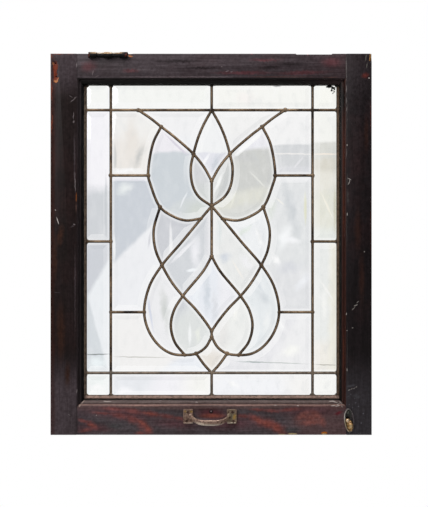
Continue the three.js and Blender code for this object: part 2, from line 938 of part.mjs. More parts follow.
function addPiece(name, solid, { color, roughness, metalness }) {
  const material = new THREE.MeshStandardMaterial({ color, roughness, metalness });
  const mesh = new THREE.Mesh(geometryOf(solid), material);
  mesh.name = name;
  sash.add(mesh);
}

const stainedWood = { color: 0x35292a, roughness: 0.55, metalness: 0 };
const leadCame = { color: 0x6f5e4b, roughness: 0.6, metalness: 0.6 };
const clearGlass = { color: 0xe7eaec, roughness: 0.05, metalness: 0 };
const oldPutty = { color: 0x8f877a, roughness: 0.9, metalness: 0 };
const castBrass = { color: 0x7d6452, roughness: 0.45, metalness: 0.8 };
const rustyIron = { color: 0x2f2723, roughness: 0.8, metalness: 0.5 };
const wornBrass = { color: 0xa08052, roughness: 0.4, metalness: 0.9 };

addPiece("stile_left", stileLeft, stainedWood);
addPiece("stile_right", stileRight, stainedWood);
addPiece("rail_top", railTop, stainedWood);
addPiece("rail_bottom", railBottom, stainedWood);
addPiece("glazing_putty", putty(), oldPutty);
addPiece("came_lattice", cameLattice, leadCame);
for (const [name, sides] of Object.entries(pairedPanes)) {
  addPiece(name + "_right", pane(sides), clearGlass);
  addPiece(name + "_left", pane(sides.map(mirrored)), clearGlass);
}
for (const [name, sides] of Object.entries(middlePanes)) {
  addPiece(name, pane([...sides, ...sides.map(mirrored).map(backward).reverse()]), clearGlass);
}
addPiece("sash_lift", sashLift(), castBrass);
liftScrewPlaces.forEach(([along, up], i) => {
  const made = screw(frontScrew).rotateX(Math.PI);
  addPiece(`lift_screw_${i + 1}`, placed(made, lift.x + along, liftPlateFront, lift.z + up), castBrass);
});
addPiece("hinge_leaf", hingeLeaf(), rustyIron);
addPiece("hinge_pin", hingePin(), rustyIron);
hingeScrewPlaces.forEach(([along, y], i) => {
  const made = screw(edgeScrew).rotateX(Math.PI / 2);
  addPiece(`hinge_screw_${i + 1}`, placed(made, hinge.x + along, y, leafTop), rustyIron);
});
addPiece("flush_cup", flushCup(), wornBrass);
addPiece("thumb_piece", thumbPiece(), wornBrass);

export default sash;
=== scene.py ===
# Leaded window sash, dressed for looks. Metres, X right, room side towards -Y, Z up, origin on the top edge.
import math
import random

import bpy
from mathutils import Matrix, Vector


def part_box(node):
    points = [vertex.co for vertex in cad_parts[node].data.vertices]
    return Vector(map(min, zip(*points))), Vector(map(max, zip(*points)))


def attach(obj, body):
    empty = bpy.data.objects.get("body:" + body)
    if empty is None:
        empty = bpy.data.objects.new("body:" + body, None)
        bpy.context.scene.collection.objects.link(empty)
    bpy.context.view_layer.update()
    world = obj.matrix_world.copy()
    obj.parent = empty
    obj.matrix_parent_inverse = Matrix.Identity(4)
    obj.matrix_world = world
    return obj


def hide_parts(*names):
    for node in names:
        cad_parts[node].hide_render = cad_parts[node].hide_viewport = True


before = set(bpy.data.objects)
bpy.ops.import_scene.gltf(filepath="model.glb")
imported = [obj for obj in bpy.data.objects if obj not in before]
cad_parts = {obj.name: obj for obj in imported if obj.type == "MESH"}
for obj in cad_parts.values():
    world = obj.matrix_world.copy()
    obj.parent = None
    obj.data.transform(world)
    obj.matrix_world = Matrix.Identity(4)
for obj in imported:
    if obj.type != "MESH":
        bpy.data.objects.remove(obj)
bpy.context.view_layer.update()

mm = 0.001
dice = random.Random(7)
print("frame loaded,", len(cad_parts), "nodes")


# helpers for materials

def linear(hexCode):
    # an sRGB hex colour as the linear values that a socket takes
    parts = [int(hexCode[i:i + 2], 16) / 255 for i in (1, 3, 5)]
    return tuple(c / 12.92 if c <= 0.04045 else ((c + 0.055) / 1.055) ** 2.4 for c in parts) + (1.0,)


def addNode(tree, kind, inputs=(), out=0, stops=(), **settings):
    # inputs: a list in the node's own order, or a dictionary by name. A ramp's stops: position, hex colour or grey
    node = tree.nodes.new("ShaderNode" + kind)
    for name, value in settings.items():
        setattr(node, name, value)
    for socket, value in inputs.items() if isinstance(inputs, dict) else enumerate(inputs):
        if isinstance(value, bpy.types.NodeSocket):
            tree.links.new(value, node.inputs[socket])
        else:
            node.inputs[socket].default_value = value
    for stop in stops[2:]:
        node.color_ramp.elements.new(0.5)
    for i, (position, value) in enumerate(stops):
        element = node.color_ramp.elements[i]
        element.position = position
        element.color = linear(value) if isinstance(value, str) else (value, value, value, 1)
    return node.outputs[out] if node.outputs else node


def newMaterial(name):
    material = bpy.data.materials.new(name)
    material.use_nodes = True
    tree = material.node_tree
    tree.nodes.clear()
    return material, tree, addNode(tree, "TexCoord", out="Object")


def closeMaterial(tree, sockets):
    addNode(tree, "OutputMaterial", [addNode(tree, "BsdfPrincipled", sockets)])


def layOver(tree, under, colour, *masks, mode="MIX"):
    # a colour over what lies under it, as strong as its masks multiplied together
    strength = masks[0]
    for mask in masks[1:]:
        strength = addNode(tree, "Math", [strength, mask], operation="MULTIPLY")
    colour = linear(colour) if isinstance(colour, str) else colour
    return addNode(tree, "Mix", {0: strength, 6: under, 7: colour}, out=2, data_type="RGBA", blend_type=mode)


def towards(tree, vector, degrees):
    # how far a vector reaches in a direction in the plane of the sash
    way = (math.cos(math.radians(degrees)), 0, math.sin(math.radians(degrees)))
    return addNode(tree, "VectorMath", [vector, way], out="Value", operation="DOT_PRODUCT")


def spotMask(tree, point, spots, soft):
    # soft ovals: middle x z, turn in degrees, half length and half width, in millimetres
    mask = None
    for x, z, turn, long, wide in spots:
        turned = addNode(tree, "Mapping", {
            "Vector": point, "Location": (x * mm, 0, z * mm), "Rotation": (0, -math.radians(turn), 0),
            "Scale": (long * mm, 1, wide * mm),
        }, vector_type="TEXTURE")
        ball = addNode(tree, "TexGradient", {"Vector": turned}, out="Fac", gradient_type="SPHERICAL")
        mask = ball if mask is None else addNode(tree, "Math", [mask, ball], operation="MAXIMUM")
    return addNode(tree, "MapRange", [mask, 0.0, soft], interpolation_type="SMOOTHSTEP")


def washMask(tree, place, wave, x, z, way, soft, wavy):
    # all that lies beyond a wavy line through a point, in millimetres
    edge = x * math.cos(math.radians(way)) + z * math.sin(math.radians(way)) + wavy
    along = addNode(tree, "Math", [wave, wavy * mm * 2, towards(tree, place, way)], operation="MULTIPLY_ADD")
    limits = ((edge - soft) * mm, (edge + soft) * mm)
    return addNode(tree, "MapRange", [along, *limits], interpolation_type="SMOOTHSTEP")


def shakenBy(tree, place, noise):
    # noise centred on zero; gives back a function that moves the place about by it
    shake = addNode(tree, "TexNoise", {"Vector": place, **noise}, out="Color")
    shake = addNode(tree, "VectorMath", [shake, (0.5, 0.5, 0.5)], operation="SUBTRACT")
    return lambda reach: addNode(tree, "VectorMath", [shake, (reach,) * 3, place], operation="MULTIPLY_ADD")


def wearDown(tree, place, body, look, wave, breaking=None, side=1.0):
    # washes, then marks with edges broken by noise. A wash: colour, point x z, way it spreads in degrees, softness,
    # waviness, share. A mark: colour, softness, raggedness, then ovals x z turn length width. Millimetres of the sash.
    for colour, x, z, way, soft, wavy, share in look.get("washes", ()):
        body = layOver(tree, body, colour, washMask(tree, place, wave, x, z, way, soft, wavy), share)
    if "marks" in look:
        moved = shakenBy(tree, place, breaking)
        for colour, soft, ragged, spots in look["marks"]:
            body = layOver(tree, body, colour, spotMask(tree, moved(2 * ragged * mm), spots, soft), side)
    return body


# helpers for meshes

def deselectAll():
    if bpy.context.object and bpy.context.object.mode != "OBJECT":
        bpy.ops.object.mode_set(mode="OBJECT")
    bpy.ops.object.select_all(action="DESELECT")


def pick(*objects):
    deselectAll()
    for one in objects:
        one.select_set(True)
    bpy.context.view_layer.objects.active = objects[0]


def placeInMesh(piece):
    pick(piece)
    bpy.ops.object.transform_apply(location=True, rotation=True, scale=True)
    return piece


def cleanMesh(piece, gap=0.001 * mm, flat=0.0, outward=True):
    # merge the doubles, clear flat faces of needless edges, turn the faces outward
    pick(piece)
    bpy.ops.object.mode_set(mode="EDIT")
    bpy.ops.mesh.select_all(action="SELECT")
    bpy.ops.mesh.remove_doubles(threshold=gap)
    if flat:
        bpy.ops.mesh.dissolve_limited(angle_limit=flat)
    if outward:
        bpy.ops.mesh.normals_make_consistent(inside=False)
    bpy.ops.object.mode_set(mode="OBJECT")


def applyModifier(piece, kind, **settings):
    pick(piece)
    modifier = piece.modifiers.new(kind.lower(), kind)
    for name, value in settings.items():
        setattr(modifier, name, value)
    bpy.ops.object.modifier_apply(modifier=modifier.name)


def easeEdges(piece, width, segments=2, sharp=50):
    applyModifier(piece, "BEVEL", width=width * mm, segments=segments, limit_method="ANGLE",
                  angle_limit=math.radians(sharp))


def cutAway(piece, cutter):
    applyModifier(piece, "BOOLEAN", object=cutter, operation="DIFFERENCE", solver="MANIFOLD")
    bpy.data.objects.remove(cutter)


def smoothOver(piece, degrees):
    pick(piece)
    bpy.ops.object.shade_smooth_by_angle(angle=math.radians(degrees))


def joinPieces(pieces, name):
    pick(*pieces)
    bpy.ops.object.join()
    joined = bpy.context.object
    joined.name = joined.data.name = name
    return joined


def addBlock(place, size):
    # a block by its middle and whole size, in millimetres
    deselectAll()
    bpy.ops.mesh.primitive_cube_add(size=1, location=[v * mm for v in place], scale=[v * mm for v in size])
    return bpy.context.object


def addLump(place, size, turn=0.0, segments=18, rings=10, chips=None):
    # an oval lump by its middle and half sizes in millimetres, turned about Y in radians, or a chipped crumb
    deselectAll()
    middle = [v * mm for v in place]
    if chips:
        bpy.ops.mesh.primitive_ico_sphere_add(subdivisions=2, radius=1, location=middle)
    else:
        bpy.ops.mesh.primitive_uv_sphere_add(segments=segments, ring_count=rings, radius=1, location=middle)
    lump = bpy.context.object
    lump.scale = [v * mm for v in size]
    lump.rotation_euler = (0, turn, 0)
    if chips:
        for knot in lump.data.vertices:
            knot.co *= dice.uniform(*chips)
    return placeInMesh(lump)


def newCurve(name, knots, closed=False, dimensions="2D"):
    data = bpy.data.curves.new(name, "CURVE")
    data.dimensions = dimensions
    spline = data.splines.new("POLY")
    spline.points.add(len(knots) - 1)
    for knot, (x, y, z) in zip(spline.points, knots):
        knot.co = (x * mm, y * mm, z * mm, 1)
    spline.use_cyclic_u = closed
    curve = bpy.data.objects.new(name, data)
    bpy.context.scene.collection.objects.link(curve)
    return curve


def sectionCurve(name, section):
    # a closed section in millimetres: to the right of the line's run, towards the room
    return newCurve(name, [(across, out, 0) for across, out in section], closed=True)


def sweepAlong(curve, section):
    # the section drawn along a curve and made a closed mesh
    curve.data.bevel_mode = "OBJECT"
    curve.data.bevel_object = section
    curve.data.use_fill_caps = True
    pick(curve)
    bpy.ops.object.convert(target="MESH")
    cleanMesh(bpy.context.object)
    return bpy.context.object


def copyOfNode(node, name):
    # a CAD node's loose triangles, merged into clean faces
    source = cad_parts[node]
    copy = source.copy()
    copy.data = source.data.copy()
    copy.parent = None
    for key in list(copy.keys()):
        del copy[key]
    bpy.context.scene.collection.objects.link(copy)
    copy.name = copy.data.name = name
    cleanMesh(copy, 0.01 * mm, math.radians(1), outward=False)
    copy.data.materials.clear()
    return copy


def settle(piece, material, slot, *nodes):
    # give the piece its finish, put its place into its mesh, and tie it to the frame
    piece.data.materials.clear()
    piece.data.materials.append(material)
    placeInMesh(piece)
    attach(piece, "root")
    if nodes:
        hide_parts(*nodes)


# camera, straight on to the sash
cameraSet = {
    "distance": 1.95, "lens": 74.16, "sensor": 36, "right": 5.4 * mm, "height": -373.2 * mm, "clip": (0.05, 60),
}
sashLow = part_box("stile_left")[0]
bpy.ops.object.camera_add(
    location=(cameraSet["right"], sashLow.y - cameraSet["distance"], cameraSet["height"]),
    rotation=(math.pi / 2, 0, 0),
)
camera = bpy.context.object
camera.data.lens = cameraSet["lens"]
camera.data.sensor_width = cameraSet["sensor"]
camera.data.clip_start, camera.data.clip_end = cameraSet["clip"]
bpy.context.scene.camera = camera

# a pale floor well below the hanging sash, in matt paint with faint clouds from the roller
floorSet = {"drop": 0.9, "size": 6.0, "rough": 0.8, "cloud": {"Scale": 3, "Detail": 3}}
floorTones = [(0.3, "#ebeae7"), (0.7, "#eeedea")]
deselectAll()
bpy.ops.mesh.primitive_plane_add(size=floorSet["size"], location=(0, 0, sashLow.z - floorSet["drop"]))
floor = bpy.context.object
floor.name = "studioFloor"
material, tree, place = newMaterial("pale matt floor paint")
cloud = addNode(tree, "TexNoise", {"Vector": place, **floorSet["cloud"]})
tone = addNode(tree, "ValToRGB", [cloud], stops=floorTones)
closeMaterial(tree, {"Base Color": tone, "Roughness": floorSet["rough"]})
floor.data.materials.append(material)

# soft studio light: a softbox on the left and a wide one overhead
lights = {
    "keySoftbox": {"place": (-1.3, -1.25, 0.5), "aim": (0, 0, -0.4), "size": (1.0, 1.0), "watts": 15},
    "overheadSoftbox": {"place": (0.0, -0.5, 1.3), "aim": (0, 0, -0.5), "size": (1.8, 0.8), "watts": 26},
}
for name, spec in lights.items():
    bpy.ops.object.light_add(type="AREA", location=spec["place"])
    lamp = bpy.context.object
    lamp.name = name
    lamp.rotation_euler = (Vector(spec["aim"]) - Vector(spec["place"])).to_track_quat("-Z", "Y").to_euler()
    lamp.data.shape = "RECTANGLE"
    lamp.data.size, lamp.data.size_y = spec["size"]
    lamp.data.energy = spec["watts"]

# the room: white behind and through the glass, dimmer where it lights the room side
roomSet = {"white": "#ffffff", "lighting": "#fdfdfc", "fade": (-0.3, 0.8), "dim": 0.1, "bright": 0.9}
world = bpy.data.worlds.new("studioRoom")
bpy.context.scene.world = world
world.use_nodes = True
tree = world.node_tree
tree.nodes.clear()
depth = addNode(tree, "SeparateXYZ", [addNode(tree, "TexCoord", out="Generated")], out="Y")
behind = addNode(tree, "MapRange", [depth, *roomSet["fade"], roomSet["dim"], roomSet["bright"]])
lighting = addNode(tree, "Background", {"Color": linear(roomSet["lighting"]), "Strength": behind})
seen = addNode(tree, "Background", {"Color": linear(roomSet["white"])})
rays = [addNode(tree, "LightPath", out=f"Is {ray} Ray") for ray in ("Camera", "Transmission")]
direct = addNode(tree, "Math", rays, operation="MAXIMUM")
addNode(tree, "OutputWorld", [addNode(tree, "MixShader", [direct, lighting, seen])])
bpy.context.scene.view_settings.view_transform = "Standard"
print("camera, floor and light set")


# the lines of the leaded pattern, in millimetres from its middle
pattern = {
    "shift": (1.0, -350.6), "borderX": 240.5, "borderTop": 299.0, "borderBottom": -294.5,
    "gridX": 189.7, "gridZ": 247.2, "connectorTop": 124.1, "connectorBottom": -132.9, "step": 3.0,
}
borderX, borderTop, borderBottom = (pattern[key] for key in ("borderX", "borderTop", "borderBottom"))
gridX, gridZ, rowTop, rowLow = (pattern[key] for key in ("gridX", "gridZ", "connectorTop", "connectorBottom"))
joints = {
    "armFoot": (138.2, gridZ), "onArm": (95.1, 216), "armPetal": (34.2, 164.5), "armsMeet": (0, 113.7),
    "petalFoot": (0, 66.7), "lobeSide": (119.4, rowTop), "lobeLoop": (97.2, 64.9),
    "lobeDiagonal": (19.9, 43), "loopCross": (93.4, -44.6), "loopSide": (126.9, rowLow),
    "loopTear": (50.6, -213.6), "loopDiamond": (29.2, -210.8), "loopFoot": (0, -179.5),
    "tearTop": (0, -27.8), "tearCross": (54.3, -102.6), "kiss": (0, -168.3), "diamondFoot": (0, -gridZ),
    "gridTop": (0, gridZ), "gridCorner": (gridX, gridZ), "gridLow": (gridX, -gridZ),
    "rowTop": (gridX, rowTop), "rowLow": (gridX, rowLow),
    "sideMiddle": (gridX, 0), "borderSide": (borderX, 0), "borderHigh": (borderX, gridZ),
    "borderLow": (borderX, -gridZ), "cornerTop": (borderX, borderTop), "cornerBottom": (borderX, borderBottom),
    "edgeTop": (gridX, borderTop), "edgeBottom": (gridX, borderBottom),
    "middleTop": (0, borderTop), "middleBottom": (0, borderBottom),
}
# the right half of each line: joints by name, and places that it passes between them
curvedLines = {
    "arm": ["armFoot", (116, 232.4), "onArm", (72.2, 198.3), "armPetal", (14, 139), "armsMeet"],
    "petal": [
        "gridTop", (15.5, 219), (26, 193.5), "armPetal", (39.3, 138), (35.6, 104.8), (24.2, 84.2), "petalFoot",
    ],
    "lobe": ["onArm", (110.4, 184), "lobeSide", (115.4, 108), "lobeLoop", (74, 48), (49, 39.6), "lobeDiagonal"],
    "loop": [
        "petalFoot", "lobeDiagonal", (56.4, -1.2), "loopCross", (117, -84), "loopSide", (117.6, -170),
        (96, -198.6), (74, -211.3), "loopTear", "loopDiamond", (11.8, -199.4), "loopFoot",
    ],
    "sCurve": [
        "lobeLoop", (109, 22), (106, -14), "loopCross", (74.5, -77.5), "tearCross", (32.5, -125), (13.2, -149), "kiss",
    ],
    "tear": ["tearTop", (15, -54.5), "tearCross", (70.8, -129.5), (76.8, -158), (69.6, -189), "loopTear"],
    "diamond": ["loopDiamond", (14.6, -231), "diamondFoot"],
}
straightLines = {
    "stem": ["armsMeet", "petalFoot", "tearTop"],
    "kissLine": ["kiss", "loopFoot"],
    "connectorTop": ["lobeSide", "rowTop"],
    "connectorBottom": ["loopSide", "rowLow"],
    "side": ["edgeTop", "gridCorner", "rowTop", "sideMiddle", "rowLow", "gridLow", "edgeBottom"],
    "sideTick": ["sideMiddle", "borderSide"],
    "rowHigh": ["gridTop", "armFoot", "gridCorner", "borderHigh"],
    "rowFoot": ["diamondFoot", "gridLow", "borderLow"],
    "tickTop": ["gridTop", "middleTop"],
    "tickBottom": ["diamondFoot", "middleBottom"],
    "borderEdge": [
        "middleTop", "edgeTop", "cornerTop", "borderHigh", "borderSide", "borderLow", "cornerBottom", "edgeBottom",
        "middleBottom",
    ],
}


def pointOf(stop):
    return Vector(joints[stop] if isinstance(stop, str) else stop)


def smoothPoints(stops):
    # a centripetal curve through the stops, and the place in it of each stop
    known = [pointOf(stop) for stop in stops]
    known = [2 * known[0] - known[1]] + known + [2 * known[-1] - known[-2]]
    points, places = [], [0]
    for before, start, end, after in zip(known, known[1:], known[2:], known[3:]):
        first, span, last = ((q - p).length ** 0.5 for p, q in ((before, start), (start, end), (end, after)))
        leaving = ((start - before) / first - (end - before) / (first + span) + (end - start) / span) * span
        coming = ((end - start) / span - (after - start) / (span + last) + (after - end) / last) * span
        count = max(3, round((end - start).length / pattern["step"]))
        for i in range(count):
            u = i / count
            bend = (3 * u * u - 2 * u ** 3) * (end - start)
            points.append(start + bend + (u - 2 * u * u + u ** 3) * leaving + (u ** 3 - u * u) * coming)
        places.append(len(points))
    points.append(known[-2])
    return points, places


drawn = {name: smoothPoints(stops) for name, stops in curvedLines.items()}
for name, stops in straightLines.items():
    drawn[name] = ([pointOf(stop) for stop in stops], list(range(len(stops))))


def runBetween(first, second):
    # the stretch of whichever line joins two stops
    for name, stops in {**curvedLines, **straightLines}.items():
        if first in stops and second in stops:
            points, places = drawn[name]
            a, b = places[stops.index(first)], places[stops.index(second)]
            return points[a:b + 1] if a < b else points[b:a + 1][::-1]
    raise ValueError(f"no line joins {first} and {second}")


def mirrored(points):
    # the same line on the left, its run reversed so that it still goes clockwise
    return [Vector((-p.x, p.y)) for p in points[::-1]]


def onSash(x, z):
    # from the middle of the pattern to the sash
    return x + pattern["shift"][0], z + pattern["shift"][1]


def flatCurve(name, points, closed=False):
    # a curve in the plane of the panel; its own Z points out of the room side
    curve = newCurve(name, [(*onSash(p.x, p.y), 0) for p in points], closed)
    curve.rotation_euler = (math.pi / 2, 0, 0)
    return curve


def drawStrip(name, points, section, closed=False, swell=0.0):
    # each knot takes a random draw, even without a swell
    curve = flatCurve(name, points, closed)
    for knot in curve.data.splines[0].points:
        knot.radius = dice.uniform(1 - swell / 2, 1 + swell / 2)
    return sweepAlong(curve, section)


# leaded panel metal: rounded came strips, the wide border came and the solder at the joints
cameSet = {
    "half": 2.6, "heart": 0.8, "front": 5.0, "lip": 2.8, "backFace": -1.75, "backLip": -0.65,
    "borderHalf": 6.0, "borderFront": 4.72, "swell": 0.05,
    "solder": 3.9, "borderSolder": 4.6, "solderIn": 4.5, "sizes": (0.82, 1.18), "ovals": (0.85, 1.15),
    "solderFront": (-3.6, 1.7), "solderBack": (0.9, 1.1),  # where each lump sits, and how far it swells
    "smooth": 50,
}


def cameSection():
    half, heart, front, lip = (cameSet[key] for key in ("half", "heart", "front", "lip"))
    backFace, backLip = cameSet["backFace"], cameSet["backLip"]
    dome = [(half * math.cos(t), lip + (front - lip) * math.sin(t)) for t in (math.pi * i / 10 for i in range(11))]
    back = [(-half * math.cos(t), backLip + (backFace - backLip) * math.sin(t))
            for t in (math.pi * i / 8 for i in range(9))]
    return dome + [(-heart, lip), (-heart, backLip)] + back + [(heart, backLip), (heart, lip)]


def borderSection():
    # flat flanges with soft edges; +across is the outer side
    wide, front = cameSet["borderHalf"], cameSet["borderFront"]
    heart, lip, backFace, backLip = (cameSet[key] for key in ("heart", "lip", "backFace", "backLip"))
    return [
        (wide, lip + 0.9), (wide, front - 0.2), (wide - 0.4, front), (-wide + 1.6, front),
        (-wide + 0.8, front - 0.25), (-wide + 0.25, front - 0.8), (-wide, lip), (-heart, lip), (-heart, backLip),
        (-wide, backLip), (-wide + 0.3, backLip - 0.6), (-wide + 1.2, backFace), (wide - 0.4, backFace),
        (wide, backFace + 0.2), (wide, backLip), (heart, backLip), (heart, lip + 0.9),
    ]


cameStrip = sectionCurve("cameSection", cameSection())
borderStrip = sectionCurve("borderSection", borderSection())
cameParts = []
for name, (points, _) in drawn.items():
    swell = cameSet["swell"] if name in curvedLines else 0
    if name in ("rowHigh", "rowFoot"):  # these cross the middle in one strip
        cameParts.append(drawStrip("came_" + name, mirrored(points) + points[1:], cameStrip))
    elif name != "borderEdge":
        cameParts.append(drawStrip("came_" + name, points, cameStrip, swell=swell))
        if any(abs(p.x) > 0.01 for p in points):
            cameParts.append(drawStrip("came_" + name, mirrored(points)[::-1], cameStrip, swell=swell))
ring = [Vector((x, z)) for x, z in (
    (-borderX, borderBottom), (borderX, borderBottom), (borderX, borderTop), (-borderX, borderTop))]
cameParts.append(drawStrip("came_border", ring, borderStrip, closed=True))

for joint in joints:
    # solder along the border sits in the corners that the came makes with it
    p = pointOf(joint)
    radius = cameSet["borderSolder" if p.x == borderX or p.y in (borderTop, borderBottom) else "solder"]
    p.x = min(p.x, borderX - cameSet["solderIn"])
    p.y = max(min(p.y, borderTop - cameSet["solderIn"]), borderBottom + cameSet["solderIn"])
    for side in (1, -1) if p.x else (1,):  # one on the middle, else one each side
        x, z = onSash(side * p.x, p.y)
        for rest, out in (cameSet["solderFront"], cameSet["solderBack"]):
            size = radius * dice.uniform(*cameSet["sizes"])
            blob = addLump((x, rest, z), (size, out, size * dice.uniform(*cameSet["ovals"])), dice.uniform(0, 3))
            bpy.ops.object.shade_smooth()
            cameParts.append(blob)
for section in (cameStrip, borderStrip):
    bpy.data.objects.remove(section)
cameLattice = joinPieces(cameParts, "bronzedCameLattice")
smoothOver(cameLattice, cameSet["smooth"])

# Lead came with a copper-brown patina: tan down the middle, where the crown is rubbed and carries a painted highlight,
# and near black at the glass, partly grime and partly painted shade on the flanks. Noise scales here and below are in
# lumps per metre, so that 24 gives patches about 42 mm across.
cameLook = {
    "cloud": {"Scale": 24, "Detail": 4, "Roughness": 0.6},
    "lumps": {"Scale": 170, "Detail": 4, "Roughness": 0.7},  # 6 mm
    "pitting": {"Scale": 420, "Detail": 3},  # 2.4 mm, coarser than the real pits, so that it shows
    "patina": [(0.31, "#30231a"), (0.42, "#7a634b"), (0.56, "#a88d70"), (0.72, "#c6a888")],
    "speckle": [(0.4, "#3b2c24"), (0.55, "#ffffff")], "speckled": 0.45, "black": "#191310",
    "paintedLightWay": 25, "lean": 0.4, "crown": [(0.66, 0.0), (0.98, 1.0)],
    "metal": (0, 1, 0.0, 0.4), "rough": (0.3, 0.7, 0.6, 0.4),  # noise from and to, then the value from and to
    "relief": 0.5,
    "washes": [
        ("#a2968a", 0, -592, -90, 2, 1, 0.55), ("#33261d", -234, -300, 180, 0.3, 0.3, 0.85),
        ("#b8a18d", -236, -300, 180, 0.8, 0.6, 0.85), ("#33261d", 234.8, -300, 0, 0.3, 0.3, 0.85),
        ("#8a705c", 236.8, -300, 0, 0.5, 0.8, 0.85), ("#33261d", 0, -638.4, -90, 0.3, 0.4, 0.85),
        # the second wash here, a ragged dark line where the bottom border meets the moulding, is painted shade
        ("#efc9b8", 0, -640.2, -90, 0.6, 0.8, 0.9), ("#120d0b", 0, -645.4, -90, 0.3, 2.4, 0.95),
        # near black along the top border under the top rail, and dark along the outer edge on the right: painted shade
        ("#15110f", 0, -60.2, 90, 0.7, 0.5, 0.9), ("#1d1512", 240.6, -300, 0, 0.4, 1.2, 0.9),
    ],
}
material, tree, place = newMaterial("patinated lead came")
cloud, lumps, pitting = (
    addNode(tree, "TexNoise", {"Vector": place, **cameLook[noise]}) for noise in ("cloud", "lumps", "pitting"))
patina = wearDown(tree, place, addNode(tree, "ValToRGB", [cloud], stops=cameLook["patina"]), cameLook, lumps)
speckle = addNode(tree, "ValToRGB", [lumps], stops=cameLook["speckle"])
body = layOver(tree, patina, speckle, cameLook["speckled"], mode="MULTIPLY")
# painted light from the upper right: the tan crown leans to the flank that faces that way,
# and the other flank is left near black as painted shade
normal = addNode(tree, "NewGeometry", out="Normal")
crown = addNode(tree, "Math", [addNode(tree, "SeparateXYZ", [normal], out="Y")], operation="ABSOLUTE")
lit = towards(tree, normal, cameLook["paintedLightWay"])
crown = addNode(tree, "Math", [lit, cameLook["lean"], crown], operation="MULTIPLY_ADD")
rubbedAndLit = addNode(tree, "ValToRGB", [crown], stops=cameLook["crown"])
closeMaterial(tree, {
    "Base Color": layOver(tree, linear(cameLook["black"]), body, rubbedAndLit),
    "Metallic": addNode(tree, "MapRange", [rubbedAndLit, *cameLook["metal"]]),
    "Roughness": addNode(tree, "MapRange", [cloud, *cameLook["rough"]]),
    "Normal": addNode(tree, "Bump", {"Height": pitting, "Strength": cameLook["relief"], "Distance": 0.2 * mm}),
})
settle(cameLattice, material, "came_metal", "came_lattice")
print("came lattice made,", len(cameLattice.data.polygons), "faces")
